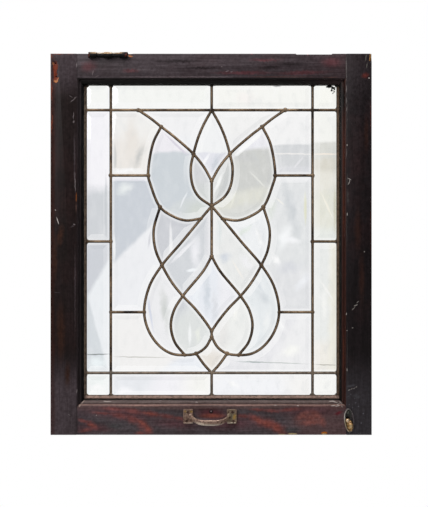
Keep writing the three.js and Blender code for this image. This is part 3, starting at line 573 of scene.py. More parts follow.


# Bevelled panes: a plate to each outline, its slopes cut along every side, the back matched to the front.
# Old polished plate with ground slopes. The tones are painted shade and painted reflections of the room seen through
# the glass, so each pane has its own tone. Stops run clockwise as seen from the room. Then the tones of each part: its
# tone, washes that spread over it (tone, point x z, way it spreads in degrees, softness, waviness) and patches (tone,
# middle x z, turn, half length, half width), in millimetres from the middle of the pattern.
panes = {
    "border_corner_top": {
        "stops": "edgeTop cornerTop borderHigh gridCorner",
        "left": ("#f2f3f0",), "right": ("#f4f4ee",),
    },
    "border_top": {
        "stops": "middleTop edgeTop gridCorner gridTop",
        "left": ("#f1f2ef",),
        "right": ("#f2f2ee", [], [("#f4f0ed", 63, 270, 0, 24, 12), ("#8a8a8a", 123, 292.2, 0, 9, 2.2)]),
    },
    "border_side_upper": {
        "stops": "gridCorner borderHigh borderSide sideMiddle",
        "left": ("#f1f0f4", [("#cdd0d4", -215, 98, -90, 12, 16)], [("#bfc3c8", -199, 60, 90, 72, 4)]),
        "right": ("#f0f0ec", [
            ("#d6d6d0", 215, 187, -90, 3, 3), ("#d6d3c8", 215, 158, -90, 6, 6), ("#e3e1d8", 215, 132, -90, 8, 8),
            ("#dfdfd4", 215, 92, -90, 12, 10), ("#e6e9e4", 215, 24, -90, 14, 8),
        ], [
            ("#efe6da", 215, 164.5, 0, 40, 2), ("#ece9dc", 217, 68, -65, 32, 2.6), ("#cfcdbb", 232, 60, 90, 50, 4),
        ]),
    },
    "border_side_lower": {
        "stops": "sideMiddle borderSide borderLow gridLow",
        "left": ("#e8ebee", [("#cbced4", -215, -70, 150, 5, 6), ("#d3d8dc", -216, -168, -165, 3, 4)], [
            ("#7d8284", -215, -212.5, 0, 30, 1.5), ("#e9f0f2", -215, -228, 0, 30, 12),
        ]),
        "right": ("#e5e7e5", [("#ebe8e1", 215, -188, -90, 14, 8), ("#e9e6da", 222, -20, 0, 8, 8)], [
            ("#efefec", 216, -92, -57, 24, 2.6), ("#f1f1ee", 212, -120, 90, 40, 5), ("#b5b3ab", 216, -232, -1, 30, 1.3),
        ]),
    },
    "border_corner_bottom": {
        "stops": "gridLow borderLow cornerBottom edgeBottom",
        "left": ("#eef2f1", [], [("#ffffff", -215, -275, 0, 18, 8)]), "right": ("#f3f3f0",),
    },
    "border_bottom": {
        "stops": "diamondFoot gridLow edgeBottom middleBottom",
        "left": ("#f0eff3", [("#e6e8ec", -112, -270, 160, 18, 8), ("#f2f2ee", -50, -270, 0, 25, 8)], [
            ("#f4f4f8", -165, -280, 8, 22, 7),
        ]),
        "right": ("#eff0f3", [("#f1f0ee", 140, -270, 0, 30, 8)], [("#fafafc", 40, -268, -35, 16, 5)]),
    },
    "field_shoulder": {
        "stops": "armFoot gridCorner rowTop lobeSide onArm",
        "left": ("#edecea", [("#e9e5e0", -160, 195, -90, 25, 10)], [
            ("#e6e1db", -151, 188, 90, 60, 13), ("#cfcfcd", -182, 158, 90, 30, 4.5), ("#c8c8c6", -137, 160, 72, 32, 8),
            ("#ffffff", -163, 133, 0, 38, 5),
        ]),
        "right": ("#efefef", [("#d2d4d6", 150, 182, -88, 2.5, 4), ("#d9dade", 150, 140, -90, 5, 3)], [
            ("#eceae8", 150, 165, -1, 60, 1.8), ("#e1e1e4", 163, 148, 50, 18, 2.5),
        ]),
    },
    "field_top": {
        "stops": "gridTop armFoot armPetal",
        "left": ("#eeeeef", [("#e8eaef", -80, 185, -90, 30, 12)]),
        "right": ("#eeeeed", [("#e9e9ea", 80, 200, -90, 20, 10)]),
    },
    "petal_lower": {
        "stops": "armPetal petalFoot armsMeet",
        "left": ("#d2d3d6", [("#d0d3d2", -20, 110, -90, 20, 6)]),
        "right": ("#cdcfce", [], [("#f0f1f0", 12, 108, 66, 24, 4)]),
    },
    "lobe_upper": {
        "stops": "onArm lobeDiagonal petalFoot armPetal",
        "left": ("#ebe9ee", [("#cbd1d6", -72, 168, -90, 4, 10), ("#cfd4d6", -60, 75, -60, 6, 8)], [
            ("#d6d2dd", -66, 181.5, -44, 38, 3), ("#cfd4cf", -31, 59, 20, 30, 18), ("#e4e7ea", -53, 78, 66, 20, 2.4),
        ]),
        "right": ("#e8e8ed", [
            ("#cccdca", 72, 173, -84, 5, 6), ("#dbdbd2", 72, 97, -80, 10, 14), ("#d6d7d3", 60, 68, -80, 7, 10),
        ], [
            ("#ffffff", 69.5, 183.5, 40.5, 46, 4.9), ("#dedfda", 86, 117, -46, 24, 2.4), ("#e4e4da", 40, 78, 69, 20, 3),
            ("#c6c7c6", 62, 158, 0, 26, 8),
        ]),
    },
    "field_side": {
        "stops": "lobeSide rowTop rowLow loopSide loopCross lobeLoop",
        "left": ("#eaebee", [("#c9ced5", -150, -7, 132.6, 5, 8), ("#e8e8ee", -150, 114, 90, 2, 2)], [
            ("#e6eaea", -163, 100, 30, 22, 10), ("#eceef0", -183, -12, 90, 30, 3.5), ("#cfd0d6", -116, 7, 80, 22, 3),
        ]),
        "right": ("#dfe1e2", [("#e6e7e9", 150, 112, 90, 3, 2), ("#dfe0e2", 150, -50, -90, 20, 20)], [
            ("#cdd1d4", 151, 59, -75, 75, 10), ("#dadfd9", 112, 60, 70, 30, 8), ("#f2f4f5", 137, 8, 65, 32, 11),
            ("#e0e0ca", 176, 62, 90, 34, 3.5), ("#ecebe6", 128, 76, -41, 13, 2.2), ("#fafbfb", 123, -36, -60, 17, 6),
            ("#f2f3f5", 150, 2, 0, 20, 6), ("#d5d7dc", 145, -50, 10, 30, 12), ("#eaecf0", 172, -75, 50, 24, 9),
            ("#d8dadd", 128, -92, -40, 24, 8),
        ]),
    },
    "crescent_upper": {
        "stops": "lobeDiagonal lobeLoop loopCross",
        "left": ("#cbcdd2", [], [("#ececee", -77, -7, 90, 50, 4), ("#f1f1f3", -68, -12, 44, 36, 4)]),
        "right": ("#eaecee", [], [("#dfe6df", 60, 20, 40, 24, 6), ("#f6f6f6", 90, 5, -75, 34, 5)]),
    },
    "centre": {
        "stops": "petalFoot loopCross tearCross tearTop",
        "left": ("#d0d3d7", [("#dadade", -10, 0, 0, 6, 4)], [
            ("#f0f0f3", -56, -20, 45, 38, 4.5), ("#ececf0", -31, -22, 90, 46, 10), ("#f0f3f6", -37, -54, 10, 12, 4),
        ]),
        "right": ("#e6e7e6", [], [
            ("#d0d5dc", 25, -31, 10, 14, 9), ("#efece7", 49, -53, -60, 24, 2.8), ("#dde2e2", 14, 20, 90, 36, 6),
            ("#eeeef0", 66, -40, -50, 22, 8),
        ]),
    },
    "crescent_lower": {
        "stops": "loopCross loopTear tearCross",
        "left": ("#e9e9eb", [], [("#cdd0ce", -87, -132, 98, 55, 8), ("#d4d8e4", -118, -120, 100, 60, 3)]),
        "right": ("#e3e7e9", [], [
            ("#d2d7db", 96, -104, -50, 20, 9), ("#eceeee", 105, -150, 80, 30, 8), ("#d9dee2", 86, -80, -52, 24, 4),
        ]),
    },
    "lobe_lower": {
        "stops": "tearCross loopTear loopFoot kiss",
        "left": ("#dbdedd", [("#cfd2d7", -50, -128, 125, 18, 8)], [
            ("#eef0f0", -41, -176, 90, 24, 4), ("#e6e9e2", -27, -176, 90, 20, 5),
        ]),
        "right": ("#eaebe9", [("#e5e4e2", 30, -150, 180, 10, 8)], [("#f4f4f0", 44, -140, 80, 20, 5)]),
    },
    "field_foot": {
        "stops": "loopSide rowLow gridLow diamondFoot loopDiamond",
        "left": ("#eeedec", [("#e8ebf0", -72, -224, -50, 8, 6)], [("#c4c3be", -135, -217.5, -1, 60, 1.3)]),
        "right": ("#ebebec", [("#e5e5e8", 120, -215, 150, 12, 10)], [
            ("#94a0a0", 80, -227, -2, 40, 1.5), ("#bdc2c0", 130, -228.5, -2, 60, 1.2),
            ("#f6f6f2", 150, -205, 20, 22, 10), ("#f6f6f6", 132, -160, -50, 12, 6),
        ]),
    },
    "petal_top": {
        "stops": "gridTop armPetal armsMeet",
        "middle": ("#eeeff0", [("#e0e1e8", 0, 167, -90, 3, 5)], [
            ("#cdd2da", 8, 149, 80, 20, 7), ("#f4f4f7", -14, 150, 55, 22, 4),
        ]),
    },
    "diamond": {
        "stops": "tearTop tearCross kiss",
        "middle": ("#e5e8ee", [("#ebebef", 12, -100, 0, 8, 6)], [
            ("#cfd5dc", -9, -95, 90, 55, 6), ("#d9dbe0", 6, -120, 90, 30, 5), ("#eef1f5", -28, -100, 80, 28, 6),
        ]),
    },
    "diamond_foot": {
        "stops": "loopFoot loopDiamond diamondFoot",
        "middle": ("#efeeec", [("#e4dfd8", 0, -208, -90, 12, 4)]),
    },
}
glassSet = {
    "front": 4.95, "back": -0.55, "slopeWidth": 12.7, "edge": 3.0, "room": 1.1, "past": 4.0, "runOn": 28.0, "smooth": 5,
}
slope = (glassSet["front"] - glassSet["back"] - glassSet["edge"]) / glassSet["slopeWidth"]
near, far = glassSet["room"] - glassSet["past"], glassSet["room"] + glassSet["slopeWidth"] + glassSet["past"]
slopeSection = sectionCurve("slopeSection", [
    (near, glassSet["front"] - slope * (glassSet["slopeWidth"] + glassSet["past"])),
    (far, glassSet["front"] + slope * glassSet["past"]),
    (near, glassSet["front"] + slope * glassSet["past"] + 1),
])


def insetLoop(points, distance):
    # a clockwise loop drawn in on its right-hand side
    moved = []
    for i, p in enumerate(points):
        into, out = (p - points[i - 1]).normalized(), (points[(i + 1) % len(points)] - p).normalized()
        side = Vector((into.y + out.y, -into.x - out.x))
        moved.append(p + side * (2 * distance / max(side.length_squared, 0.05)))
    return moved


def lengthened(points, distance):
    first, last = (points[0] - points[1]).normalized(), (points[-1] - points[-2]).normalized()
    return [points[0] + first * distance] + list(points[1:-1]) + [points[-1] + last * distance]


def makePane(name, sides):
    # sides run clockwise, each a smooth line from corner to corner
    outline = [p for side in sides for p in side[:-1]]
    plate = flatCurve(name, insetLoop(outline, glassSet["room"]), closed=True)
    plate.data.fill_mode = "BOTH"
    plate.data.extrude = (glassSet["front"] - glassSet["back"]) / 2 * mm
    plate.location.y = -(glassSet["front"] + glassSet["back"]) / 2 * mm
    pick(plate)
    bpy.ops.object.convert(target="MESH")
    plate = placeInMesh(bpy.context.object)
    cleanMesh(plate, flat=0.001)
    for side in sides:
        cutAway(plate, drawStrip("slope", lengthened(side, glassSet["runOn"]), slopeSection))
    # keep the room side with its slopes, and draw it back to a flat copy behind
    pick(plate)
    for face in plate.data.polygons:
        face.select = face.normal.y > -0.5
    bpy.ops.object.mode_set(mode="EDIT")
    bpy.ops.mesh.select_mode(type="FACE")
    bpy.ops.mesh.delete(type="FACE")
    bpy.ops.mesh.select_all(action="SELECT")
    bpy.ops.mesh.extrude_region_move()
    bpy.ops.transform.resize(value=(1, 0, 1), center_override=(0, -glassSet["back"] * mm, 0))
    bpy.ops.mesh.select_all(action="SELECT")
    bpy.ops.mesh.normals_make_consistent(inside=False)
    bpy.ops.object.mode_set(mode="OBJECT")
    if min(plate.data.polygons, key=lambda face: face.center.y).normal.y > 0:
        plate.data.flip_normals()
    smoothOver(plate, glassSet["smooth"])
    return plate


# how the panes pass light, and how the painted light on them is laid: mottle, patches, and glint, shade and rim on the
# slopes
glassLight = {
    "passed": 0.93,  # share of the light that both faces let through
    "waves": {"Scale": 22, "Detail": 6, "Roughness": 0.65},  # 45 mm
    "mottleStreaks": (75, 75, 42), "mottleTurn": 35, "mottleDetail": 3,  # painted reflection mottle in streaks 13 mm wide and 24 mm long
    "shake": {"Scale": 60, "Detail": 4, "Roughness": 0.6},  # 17 mm
    "thin": 5,  # a patch narrower than this keeps a firm edge
    "firm": {"shake": 0.004, "wider": 1.1, "soft": 0.7}, "loose": {"shake": 0.022, "wider": 1.5, "soft": 1.0},
    "longer": 1.15,
    "mottleShares": {"left": 0.15, "right": 0.27, "middle": 0.15}, "mottleTones": ("#ffffff", "#cbcfd2"),
    # the glint, shade and rim below are painted into the colour
    "glintWay": {"left": -55, "right": 135, "middle": 135}, "turnedAway": (0.07, 0.19),
    "glint": ("#ffffff", 0.95), "shade": ("#8f949c", 0.2),
    "rim": ("#ffffff", 0.95), "rimDepth": (-0.0038, -0.0031),  # the outer end of a slope lies at this depth
    "slopeNormal": -0.981, "nearly": 0.008,  # how far a slope's normal points to the room
}


def passedTone(hexCode):
    # the tone that leaves this colour once both faces have reflected their share
    return tuple(min(1.0, c / glassLight["passed"]) for c in linear(hexCode)[:3]) + (1.0,)


def glassMaterial(name, side, base, washes=(), paintedPatches=()):
    material, tree, place = newMaterial("polished plate glass " + name)
    wave = addNode(tree, "TexNoise", {"Vector": place, **glassLight["waves"]})
    moved = shakenBy(tree, place, glassLight["shake"])
    shaken = {edge: moved(glassLight[edge]["shake"]) for edge in ("firm", "loose")}
    tone = passedTone(base)
    # painted shade and painted reflections of the room, as washes and patches over the pane's tone
    for colour, x, z, way, soft, wavy in washes:
        tone = layOver(tree, tone, passedTone(colour), washMask(tree, place, wave, *onSash(x, z), way, soft, wavy))
    for colour, x, z, turn, long, wide in paintedPatches:
        edge = "firm" if wide < glassLight["thin"] else "loose"
        oval = (*onSash(x, z), turn, long * glassLight["longer"], wide * glassLight[edge]["wider"])
        tone = layOver(tree, tone, passedTone(colour), spotMask(tree, shaken[edge], [oval], glassLight[edge]["soft"]))
    # a painted mottle of reflected light, to white and to blue grey, stronger on the right half
    mottleStreaks = addNode(tree, "Mapping", {
        "Vector": place, "Rotation": (0, math.radians(glassLight["mottleTurn"]), 0), "Scale": glassLight["mottleStreaks"],
    })
    reflectionMottle = addNode(tree, "TexNoise", {"Vector": mottleStreaks, "Scale": 1, "Detail": glassLight["mottleDetail"]})
    share = glassLight["mottleShares"][side]
    for colour, stops in zip(glassLight["mottleTones"], ([(0.5, 0.0), (0.72, share)], [(0.3, share), (0.46, 0.0)])):
        tone = layOver(tree, tone, passedTone(colour), addNode(tree, "ValToRGB", [reflectionMottle], stops=stops))
    # painted light on the slopes: a painted glint where they face one way, painted shade where they face the other, and
    # a painted bright rim at their outer end
    normal = addNode(tree, "NewGeometry", out="Normal")
    facing = towards(tree, normal, glassLight["glintWay"][side])
    for sign, (colour, share) in ((1, glassLight["glint"]), (-1, glassLight["shade"])):
        lit = addNode(tree, "MapRange", [facing, *(sign * reach for reach in glassLight["turnedAway"]), 0, share])
        tone = layOver(tree, tone, passedTone(colour), lit)
    faceOn = addNode(tree, "SeparateXYZ", [normal], out="Y")
    sloped = addNode(tree, "Math", [faceOn, glassLight["slopeNormal"], glassLight["nearly"]], operation="COMPARE")
    colour, share = glassLight["rim"]
    depth = addNode(tree, "SeparateXYZ", [place], out="Y")
    outer = addNode(tree, "MapRange", [depth, *glassLight["rimDepth"], 0, share])
    closeMaterial(tree, {
        "Base Color": layOver(tree, tone, passedTone(colour), sloped, outer),
        "Transmission Weight": 1.0, "IOR": 1.5, "Roughness": 0.02,
    })
    return material


def dressPane(name, side, sides, paneTones):
    settle(makePane(name + "_dressed", sides), glassMaterial(name, side, *paneTones), "clear_glass", name)


for name, pane in panes.items():
    name = "glass_" + name
    order = pane["stops"].split()
    sides = [runBetween(a, b) for a, b in zip(order, order[1:])]
    if "middle" in pane:
        dressPane(name, "middle", sides + [mirrored(side) for side in sides[::-1]], pane["middle"])
        continue
    sides.append(runBetween(order[-1], order[0]))
    dressPane(name + "_right", "right", sides, pane["right"])
    dressPane(name + "_left", "left", [mirrored(side) for side in sides[::-1]], pane["left"])
bpy.data.objects.remove(slopeSection)
print("panes made")


# Wood of the sash: pine, planed and moulded by hand plane, stained and varnished nearly black. Long streaks of the
# grain show through, the stiles are greyer towards their top and bottom, and chips bare the orange wood. The
# mouldings carry painted shade and painted highlights.
woodSet = {
    "streaks": (70, 70, 3.5),  # growth rings cut by the plane, 14 mm apart, drawn out along the member
    "broad": {"Detail": 4, "Distortion": 0.8}, "fine": {"Detail": 5}, "finer": 7,  # fine grain is 2 mm apart
    "cloud": {"Scale": 13, "Detail": 4, "Roughness": 0.6},  # 77 mm
    "crazed": {"Scale": 190, "Detail": 4, "Roughness": 0.7},  # 5 mm
    "ragged": {"Scale": 260, "Detail": 3},  # 4 mm
    "worn": "#4c2f2f", "wornAt": [(0.5, 0.0), (0.75, 0.35)],
    "rings": (0.3, 0.5, 0.7), "grain": ([(0.3, "#b4aaaa"), (0.6, "#ffffff")], 0.6),
    "mottle": ([(0.36, "#b8b0b0"), (0.62, "#ffffff")], 0.7),
    "front": (-0.003, -0.005),  # marks lie on the room side only
    "rough": (0.35, 0.65, 0.4, 0.6), "relief": 0.35, "ease": 0.4, "sharp": 40, "smooth": 32,
}
woodLook = {
    "stile_left": {
        "along": "Z", "tones": ("#1e1413", "#271b1b", "#302426"),
        "washes": [
            ("#50454a", -270, -62, 90, 30, 8, 0.9), ("#5e5258", -270, -590, -90, 40, 12, 0.9),
            # from x -251 towards the glass the moulding is darkened to near black: painted shade, as it faces away from
            # the light
            ("#471f14", -292, -300, 180, 3, 5, 0.5), ("#2f2729", -251, -300, 0, 0.5, 0, 0.9),
            ("#0a0809", -243.2, -300, 0, 0.6, 0, 1),
        ],
        "marks": [
            ("#84381f", 0.5, 4, [(-290.5, -24, 86, 12, 6), (-291, -37, 95, 13, 4.2), (-290, -48, 90, 8, 6)]),
            ("#c98450", 0.4, 2.5, [(-289.6, -51.5, 0, 5.5, 3), (-286, -47.5, 60, 4, 1.2), (-295.5, -18, 90, 3, 1)]),
            ("#8f8688", 0.6, 1.5, [
                (-250.6, -20, 88, 8, 1), (-256.8, -116, 86, 9, 0.9), (-256.6, -127, 80, 3.4, 2),
                (-254, -240, 92, 26, 1.1), (-257.5, -86.5, 40, 9, 0.7), (-253, -82, 14, 4, 0.8),
                (-262, -80, -30, 5, 0.5), (-256, -319, -30, 3, 1.4), (-265, -674.5, -40, 3, 0.8),
                (-251, -630, 80, 5, 1.2),
            ]),
            ("#5a5054", 1, 2, [
                (-255, -195, 90, 70, 2.4), (-254, -440, 90, 120, 1.8), (-259, -322, 20, 6, 1.8),
                (-288, -446, -8, 9, 1.2),
            ]),
            ("#a4602f", 0.6, 1.2, [(-251.6, -268, 90, 11, 1.3)]), ("#6e534b", 0.8, 1, [(-252, -287, 90, 12, 1.2)]),
            ("#e8e0dc", 0.4, 0.3, [(-286.5, -312, -72, 8.6, 0.8), (-290.6, -292, -40, 1.6, 0.8)]),
            ("#42261a", 1, 4, [
                (-282, -340, 80, 30, 10), (-292, -380, 90, 60, 6), (-281, -520, 90, 80, 12), (-268, -600, 90, 36, 8),
            ]),
            ("#8a4028", 0.6, 2.5, [
                (-285, -0.6, 0, 14, 1.2), (-262, -0.6, 0, 8, 1), (-297.5, -3, 90, 8, 1.2), (-297.8, -70, 90, 22, 1.4),
                (-297.6, -128, 90, 30, 1.4),
            ]),
            # a light line on the mitre at the bottom: painted highlight
            ("#9a8880", 0.7, 0.6, [(-244, -656.2, 50, 6, 0.9)]),
        ],
    },
    "stile_right": {
        "along": "Z", "tones": ("#181113", "#1f171a", "#281f22"),
        "washes": [
            ("#352c30", 270, -70, 90, 40, 10, 0.7), ("#4a464c", 270, -600, -90, 50, 12, 0.85),
            # reddish moulding: wood colour brightened as painted light; near black from x 244.6 in: painted shade
            ("#44231b", 252, -300, 180, 0.5, 0, 0.95), ("#120c0b", 244.6, -300, 180, 0.8, 0.6, 1),
        ],
        "marks": [
            ("#4b4544", 0.9, 2, [
                (253.6, -120, 90, 70, 1.2), (254.5, -235, 90, 16, 2.4), (255, -268, 92, 20, 2.8),
                (253.4, -330, 90, 50, 1), (254, -560, 90, 90, 1.2),
            ]),
            ("#b9b3ad", 0.5, 0.5, [
                (253.8, -171, 90, 2.2, 1.3), (258, -234, -30, 5, 0.9), (257, -242, 60, 4, 1), (258.8, -238, 90, 3, 0.7),
                (270, -470, 24, 5, 1.2), (266, -476, 45, 5, 0.6), (273.5, -464, 40, 4, 0.6), (258, -628, 20, 3, 0.8),
                (262.5, -626, 30, 2.4, 0.8), (267, -625, 35, 2.6, 0.8), (271, -622.5, 30, 2, 0.8),
                (252.6, -486, 80, 3, 1), (253.6, -517, 0, 1.6, 0.8), (264, -512, 0, 1.8, 0.8), (254, -300, 90, 4, 0.9),
                (253.8, -590, 90, 4, 0.8), (286, -370, 60, 1.6, 1),
            ]),
            ("#0c0808", 1, 1, [(246.4, -84, 90, 50, 10)]),
            ("#77706f", 0.6, 0.8, [
                (252.6, -28, 90, 30, 0.9), (252.8, -66, 90, 10, 1), (252.6, -88, 90, 8, 0.8), (253, -104, 90, 5, 0.7),
                (253, -186, 90, 12, 0.7),
            ]),
            ("#e0a45e", 0.4, 1.5, [(297.2, -6, 84, 9, 2)]),
            ("#7f7d76", 0.8, 2, [(289, -8, 80, 9, 1.6), (291, -22, 80, 7, 1)]),
            ("#6a302a", 0.9, 4, [(287.5, -41, 10, 10, 8)]), ("#f0ece6", 0.4, 0.3, [(294.9, -45.6, 0, 1.6, 1.5)]),
            ("#5d2c1e", 0.8, 2.5, [(298.6, -120, 90, 40, 1.2), (298.6, -330, 90, 90, 1)]),
            ("#3a221c", 1, 4, [(274, -330, 90, 60, 10), (281, -420, 90, 70, 9), (290, -150, 90, 50, 6)]),
            ("#6c3a2a", 0.8, 1.6, [(247.8, -560, 90, 60, 1.8), (248, -300, 90, 80, 1.4), (248, -190, 90, 60, 1.6)]),
            ("#77757f", 0.5, 0.5, [
                (258, -655, 30, 2, 0.9), (264, -661, 60, 2, 0.9), (270, -652, 20, 2, 0.9), (275, -659, 0, 1.6, 0.9),
                (268, -644, 0, 1.6, 1), (280, -690, 0, 1.4, 1.4), (284, -672, 40, 1.6, 1), (261, -636, 0, 1.6, 0.9),
            ]),
            ("#57565c", 0.8, 1.5, [(262, -620, 10, 12, 3), (272, -640, 0, 10, 6), (256, -640, 40, 6, 2)]),
        ],
    },
    "rail_top": {
        "along": "X", "tones": ("#463c40", "#564c51", "#655b60"),
        "washes": [
            # the top moulding, which faces down, darkened to near black: painted shade
            ("#1c1617", 0, -45.2, -90, 0.5, 0, 0.95), ("#060404", 0, -51, -90, 0.6, 0, 1),
            ("#5b4347", 200, -30, 0, 60, 12, 0.4),
        ],
        "marks": [
            ("#74484e", 1, 5, [
                (-228, -24, 10, 22, 15), (-150, -32, 0, 22, 5), (60, -36, 0, 80, 5), (170, -36, 2, 70, 6),
                (225, -16, 0, 28, 13), (100, -12, 0, 40, 4),
            ]),
            # dark behind and under the hinge knuckles, so they read as one barrel: painted shade
            ("#131012", 0.4, 0.8, [(-191.8, -4.6, 0, 37, 5.4)]),
            ("#2f2629", 1, 4, [(150, -20, 0, 46, 6), (-60, -14, 0, 64, 5), (-20, -27, 0, 54, 4), (110, -26, 3, 30, 6)]),
            ("#8f8286", 0.6, 1.4, [
                (-221, -36, 75, 6, 1), (20, -24.5, 0, 2, 1.4), (30, -33, 20, 5, 0.9), (38, -34, 0, 3, 1.2),
                (-60, -43.5, 0, 150, 0.9), (-214, -43, 20, 6, 0.8),
            ]),
            ("#7a5a56", 0.6, 1.2, [(130, -43.4, 0, 90, 1), (224, -44, 0, 20, 1)]),
            ("#c57a45", 0.4, 2, [(-150.5, -4.2, -10, 5.5, 2.6), (-153, -1, 0, 3, 1.5)]),
            ("#f4e6d8", 0.5, 0.5, [(-149.5, -2.6, 0, 1.8, 1.3)]),
            ("#a8545a", 0.4, 0.8, [(180.5, -1.6, 0, 2.4, 1.2), (76, -0.8, 0, 2, 0.9)]),
            ("#77706f", 0.6, 0.8, [(251.8, -28, 90, 30, 0.8)]),
        ],
    },
    "rail_bottom": {
        "along": "X", "tones": ("#50474b", "#5e555a", "#6c6368"),
        "washes": [
            ("#4f4248", -226, -690, 180, 22, 8, 0.85), ("#86605f", 150, -690, 0, 26, 10, 0.5),
            # from z -656.8 up the moulding, which faces up: painted highlight bands, a painted shade line in its groove
            # at -654.6, and near black at the glass
            ("#72554f", 0, -664, 90, 5, 3, 0.6), ("#ab8c82", 0, -656.8, 90, 0.7, 0, 1),
            ("#6a5857", 0, -654.6, 90, 0.4, 0, 1), ("#786864", 0, -653.4, 90, 0.4, 0, 1),
            ("#6a5854", 0, -650.2, 90, 1, 0.5, 0.7), ("#0f0b0a", 0, -648.2, 90, 0.4, 0.8, 1),
        ],
        "marks": [
            ("#6c4a50", 1, 6, [
                (-170, -672, -6, 110, 18), (-70, -690, -4, 70, 16), (40, -690, 0, 90, 22), (190, -668, 0, 90, 16),
                (-215, -700, 0, 60, 12),
            ]),
            ("#8c5250", 1, 3, [
                (-182, -663.5, -6, 34, 6), (-146, -667.6, -11, 30, 8), (-112, -672.4, -9, 30, 8.5),
                (-82, -677, -9, 26, 7), (-60, -681, -12, 18, 6), (-204, -671.5, -5, 28, 3.6), (-170, -676, -12, 26, 8),
                (-147, -683, -26, 24, 12), (-128, -693, -38, 22, 15), (-118, -704, -60, 15, 15), (-132, -709, 0, 16, 7),
                (-238, -686, -16, 20, 5), (-224, -692, -24, 18, 8.5), (-219, -698, 0, 14, 7), (-233, -703, 12, 20, 5.5),
                (60, -676.5, -2, 20, 6), (78, -680, -30, 18, 10), (92, -687, -35, 18, 14), (108, -691, -14, 22, 15),
                (123, -698, -36, 20, 15), (134, -705, -50, 18, 15), (88, -665, -3, 24, 4.6), (114, -667, -3, 28, 5),
                (146, -665, 4, 34, 5),
            ]),
            ("#a0635c", 1, 5, [
                (172, -676, 24, 26, 11), (196, -676, -30, 26, 12), (206, -686, -60, 16, 10), (186, -688, 4, 36, 10),
                (186, -680, 0, 26, 12),
            ]),
            ("#a45c52", 1, 2, [
                (-128, -690, -32, 22, 5), (-118, -700, -50, 12, 6), (104, -691, -20, 20, 9), (122, -698, -36, 22, 10),
                (88, -684, -35, 16, 7), (-112, -672.4, -8, 24, 3), (-222, -694, -12, 12, 4),
            ]),
            ("#64343a", 1, 2.5, [(0, -670, 0, 44, 12)]), ("#a0584a", 1, 1.5, [(2, -676.5, 0, 36, 7)]),
            ("#7c2c38", 0.9, 2, [(238, -671, 20, 11, 5)]),
            ("#5c5a5d", 1, 4, [(150, -703, 0, 26, 9), (-180, -696, 0, 26, 9)]),
            ("#e0812f", 0.3, 1, [(211.5, -708.5, 0, 6.5, 3.2)]),
            ("#e8cf9a", 0.3, 0.8, [(211.5, -710.4, 0, 5, 1.6), (152, -710, 0, 10, 1.8), (132, -711, 0, 8, 1)]),
            ("#cfc4be", 0.5, 0.6, [
                (-27, -651.2, 0, 3.4, 0.8), (-214, -675, 0, 1.3, 1), (120, -656.6, 0, 4, 0.6),
                (-194, -650.2, 0, 10, 0.7), (162, -657.5, 0, 3, 0.8), (233, -651.6, -20, 5, 1.2),
                (238, -654.6, 30, 4, 1.2), (242, -652, -50, 4, 1), (236, -658, 10, 5, 1.1), (244, -658.6, -50, 3, 1),
                (228, -657.5, 0, 6, 0.9), (226, -649.6, 0, 7, 0.9),
            ]),
            # light lines on the left mitre and along the moulding: painted highlights
            ("#b5a294", 0.7, 0.5, [(-241.5, -653.2, 50, 9, 1.1), (-245.6, -658, 50, 3, 1.6)]),
            ("#b58a80", 0.8, 1, [(60, -657.5, 0, 60, 0.8), (-120, -657.6, 0, 90, 0.8), (190, -657.8, 0, 36, 0.8)]),
            ("#1d1518", 0.6, 0.5, [(0, -668.2, 0, 5.4, 5.4)]), ("#a08a90", 0.6, 0.3, [(0, -667.8, 0, 1.8, 1.8)]),
        ],
    },
}


def woodMaterial(name, look):
    material, tree, place = newMaterial("dark stained pine " + name)
    scale = woodSet["streaks"] if look["along"] == "Z" else woodSet["streaks"][::-1]
    broad, fine = (
        addNode(tree, "TexNoise", {
            "Vector": addNode(tree, "Mapping", {"Vector": place, "Scale": [v * times for v in scale]}),
            "Scale": 1, **woodSet[noise],
        }) for noise, times in (("broad", 1), ("fine", woodSet["finer"])))
    cloud, crazed = (addNode(tree, "TexNoise", {"Vector": place, **woodSet[noise]}) for noise in ("cloud", "crazed"))
    body = addNode(tree, "ValToRGB", [broad], stops=list(zip(woodSet["rings"], look["tones"])))
    # the finish wore to red-brown and grey in clouds
    body = layOver(tree, body, woodSet["worn"], addNode(tree, "ValToRGB", [cloud], stops=woodSet["wornAt"]))
    depth = addNode(tree, "SeparateXYZ", [place], out="Y")
    front = addNode(tree, "MapRange", [depth, *woodSet["front"]])
    body = wearDown(tree, place, body, look, cloud, woodSet["ragged"], front)
    for noise, (stops, share) in ((fine, woodSet["grain"]), (crazed, woodSet["mottle"])):
        body = layOver(tree, body, addNode(tree, "ValToRGB", [noise], stops=stops), share, mode="MULTIPLY")
    height = addNode(tree, "Math", [fine, crazed], operation="ADD")
    closeMaterial(tree, {
        "Base Color": body, "IOR": 1.45, "Specular IOR Level": 0.25,
        "Roughness": addNode(tree, "MapRange", [crazed, *woodSet["rough"]]),
        "Normal": addNode(tree, "Bump", {"Height": height, "Strength": woodSet["relief"], "Distance": 0.3 * mm}),
    })
    return material


for name, look in woodLook.items():
    member = copyOfNode(name, name + "_dressed")
    easeEdges(member, woodSet["ease"], sharp=woodSet["sharp"])
    smoothOver(member, woodSet["smooth"])
    settle(member, woodMaterial(name, look), "stained_wood", name)
print("sash members made")

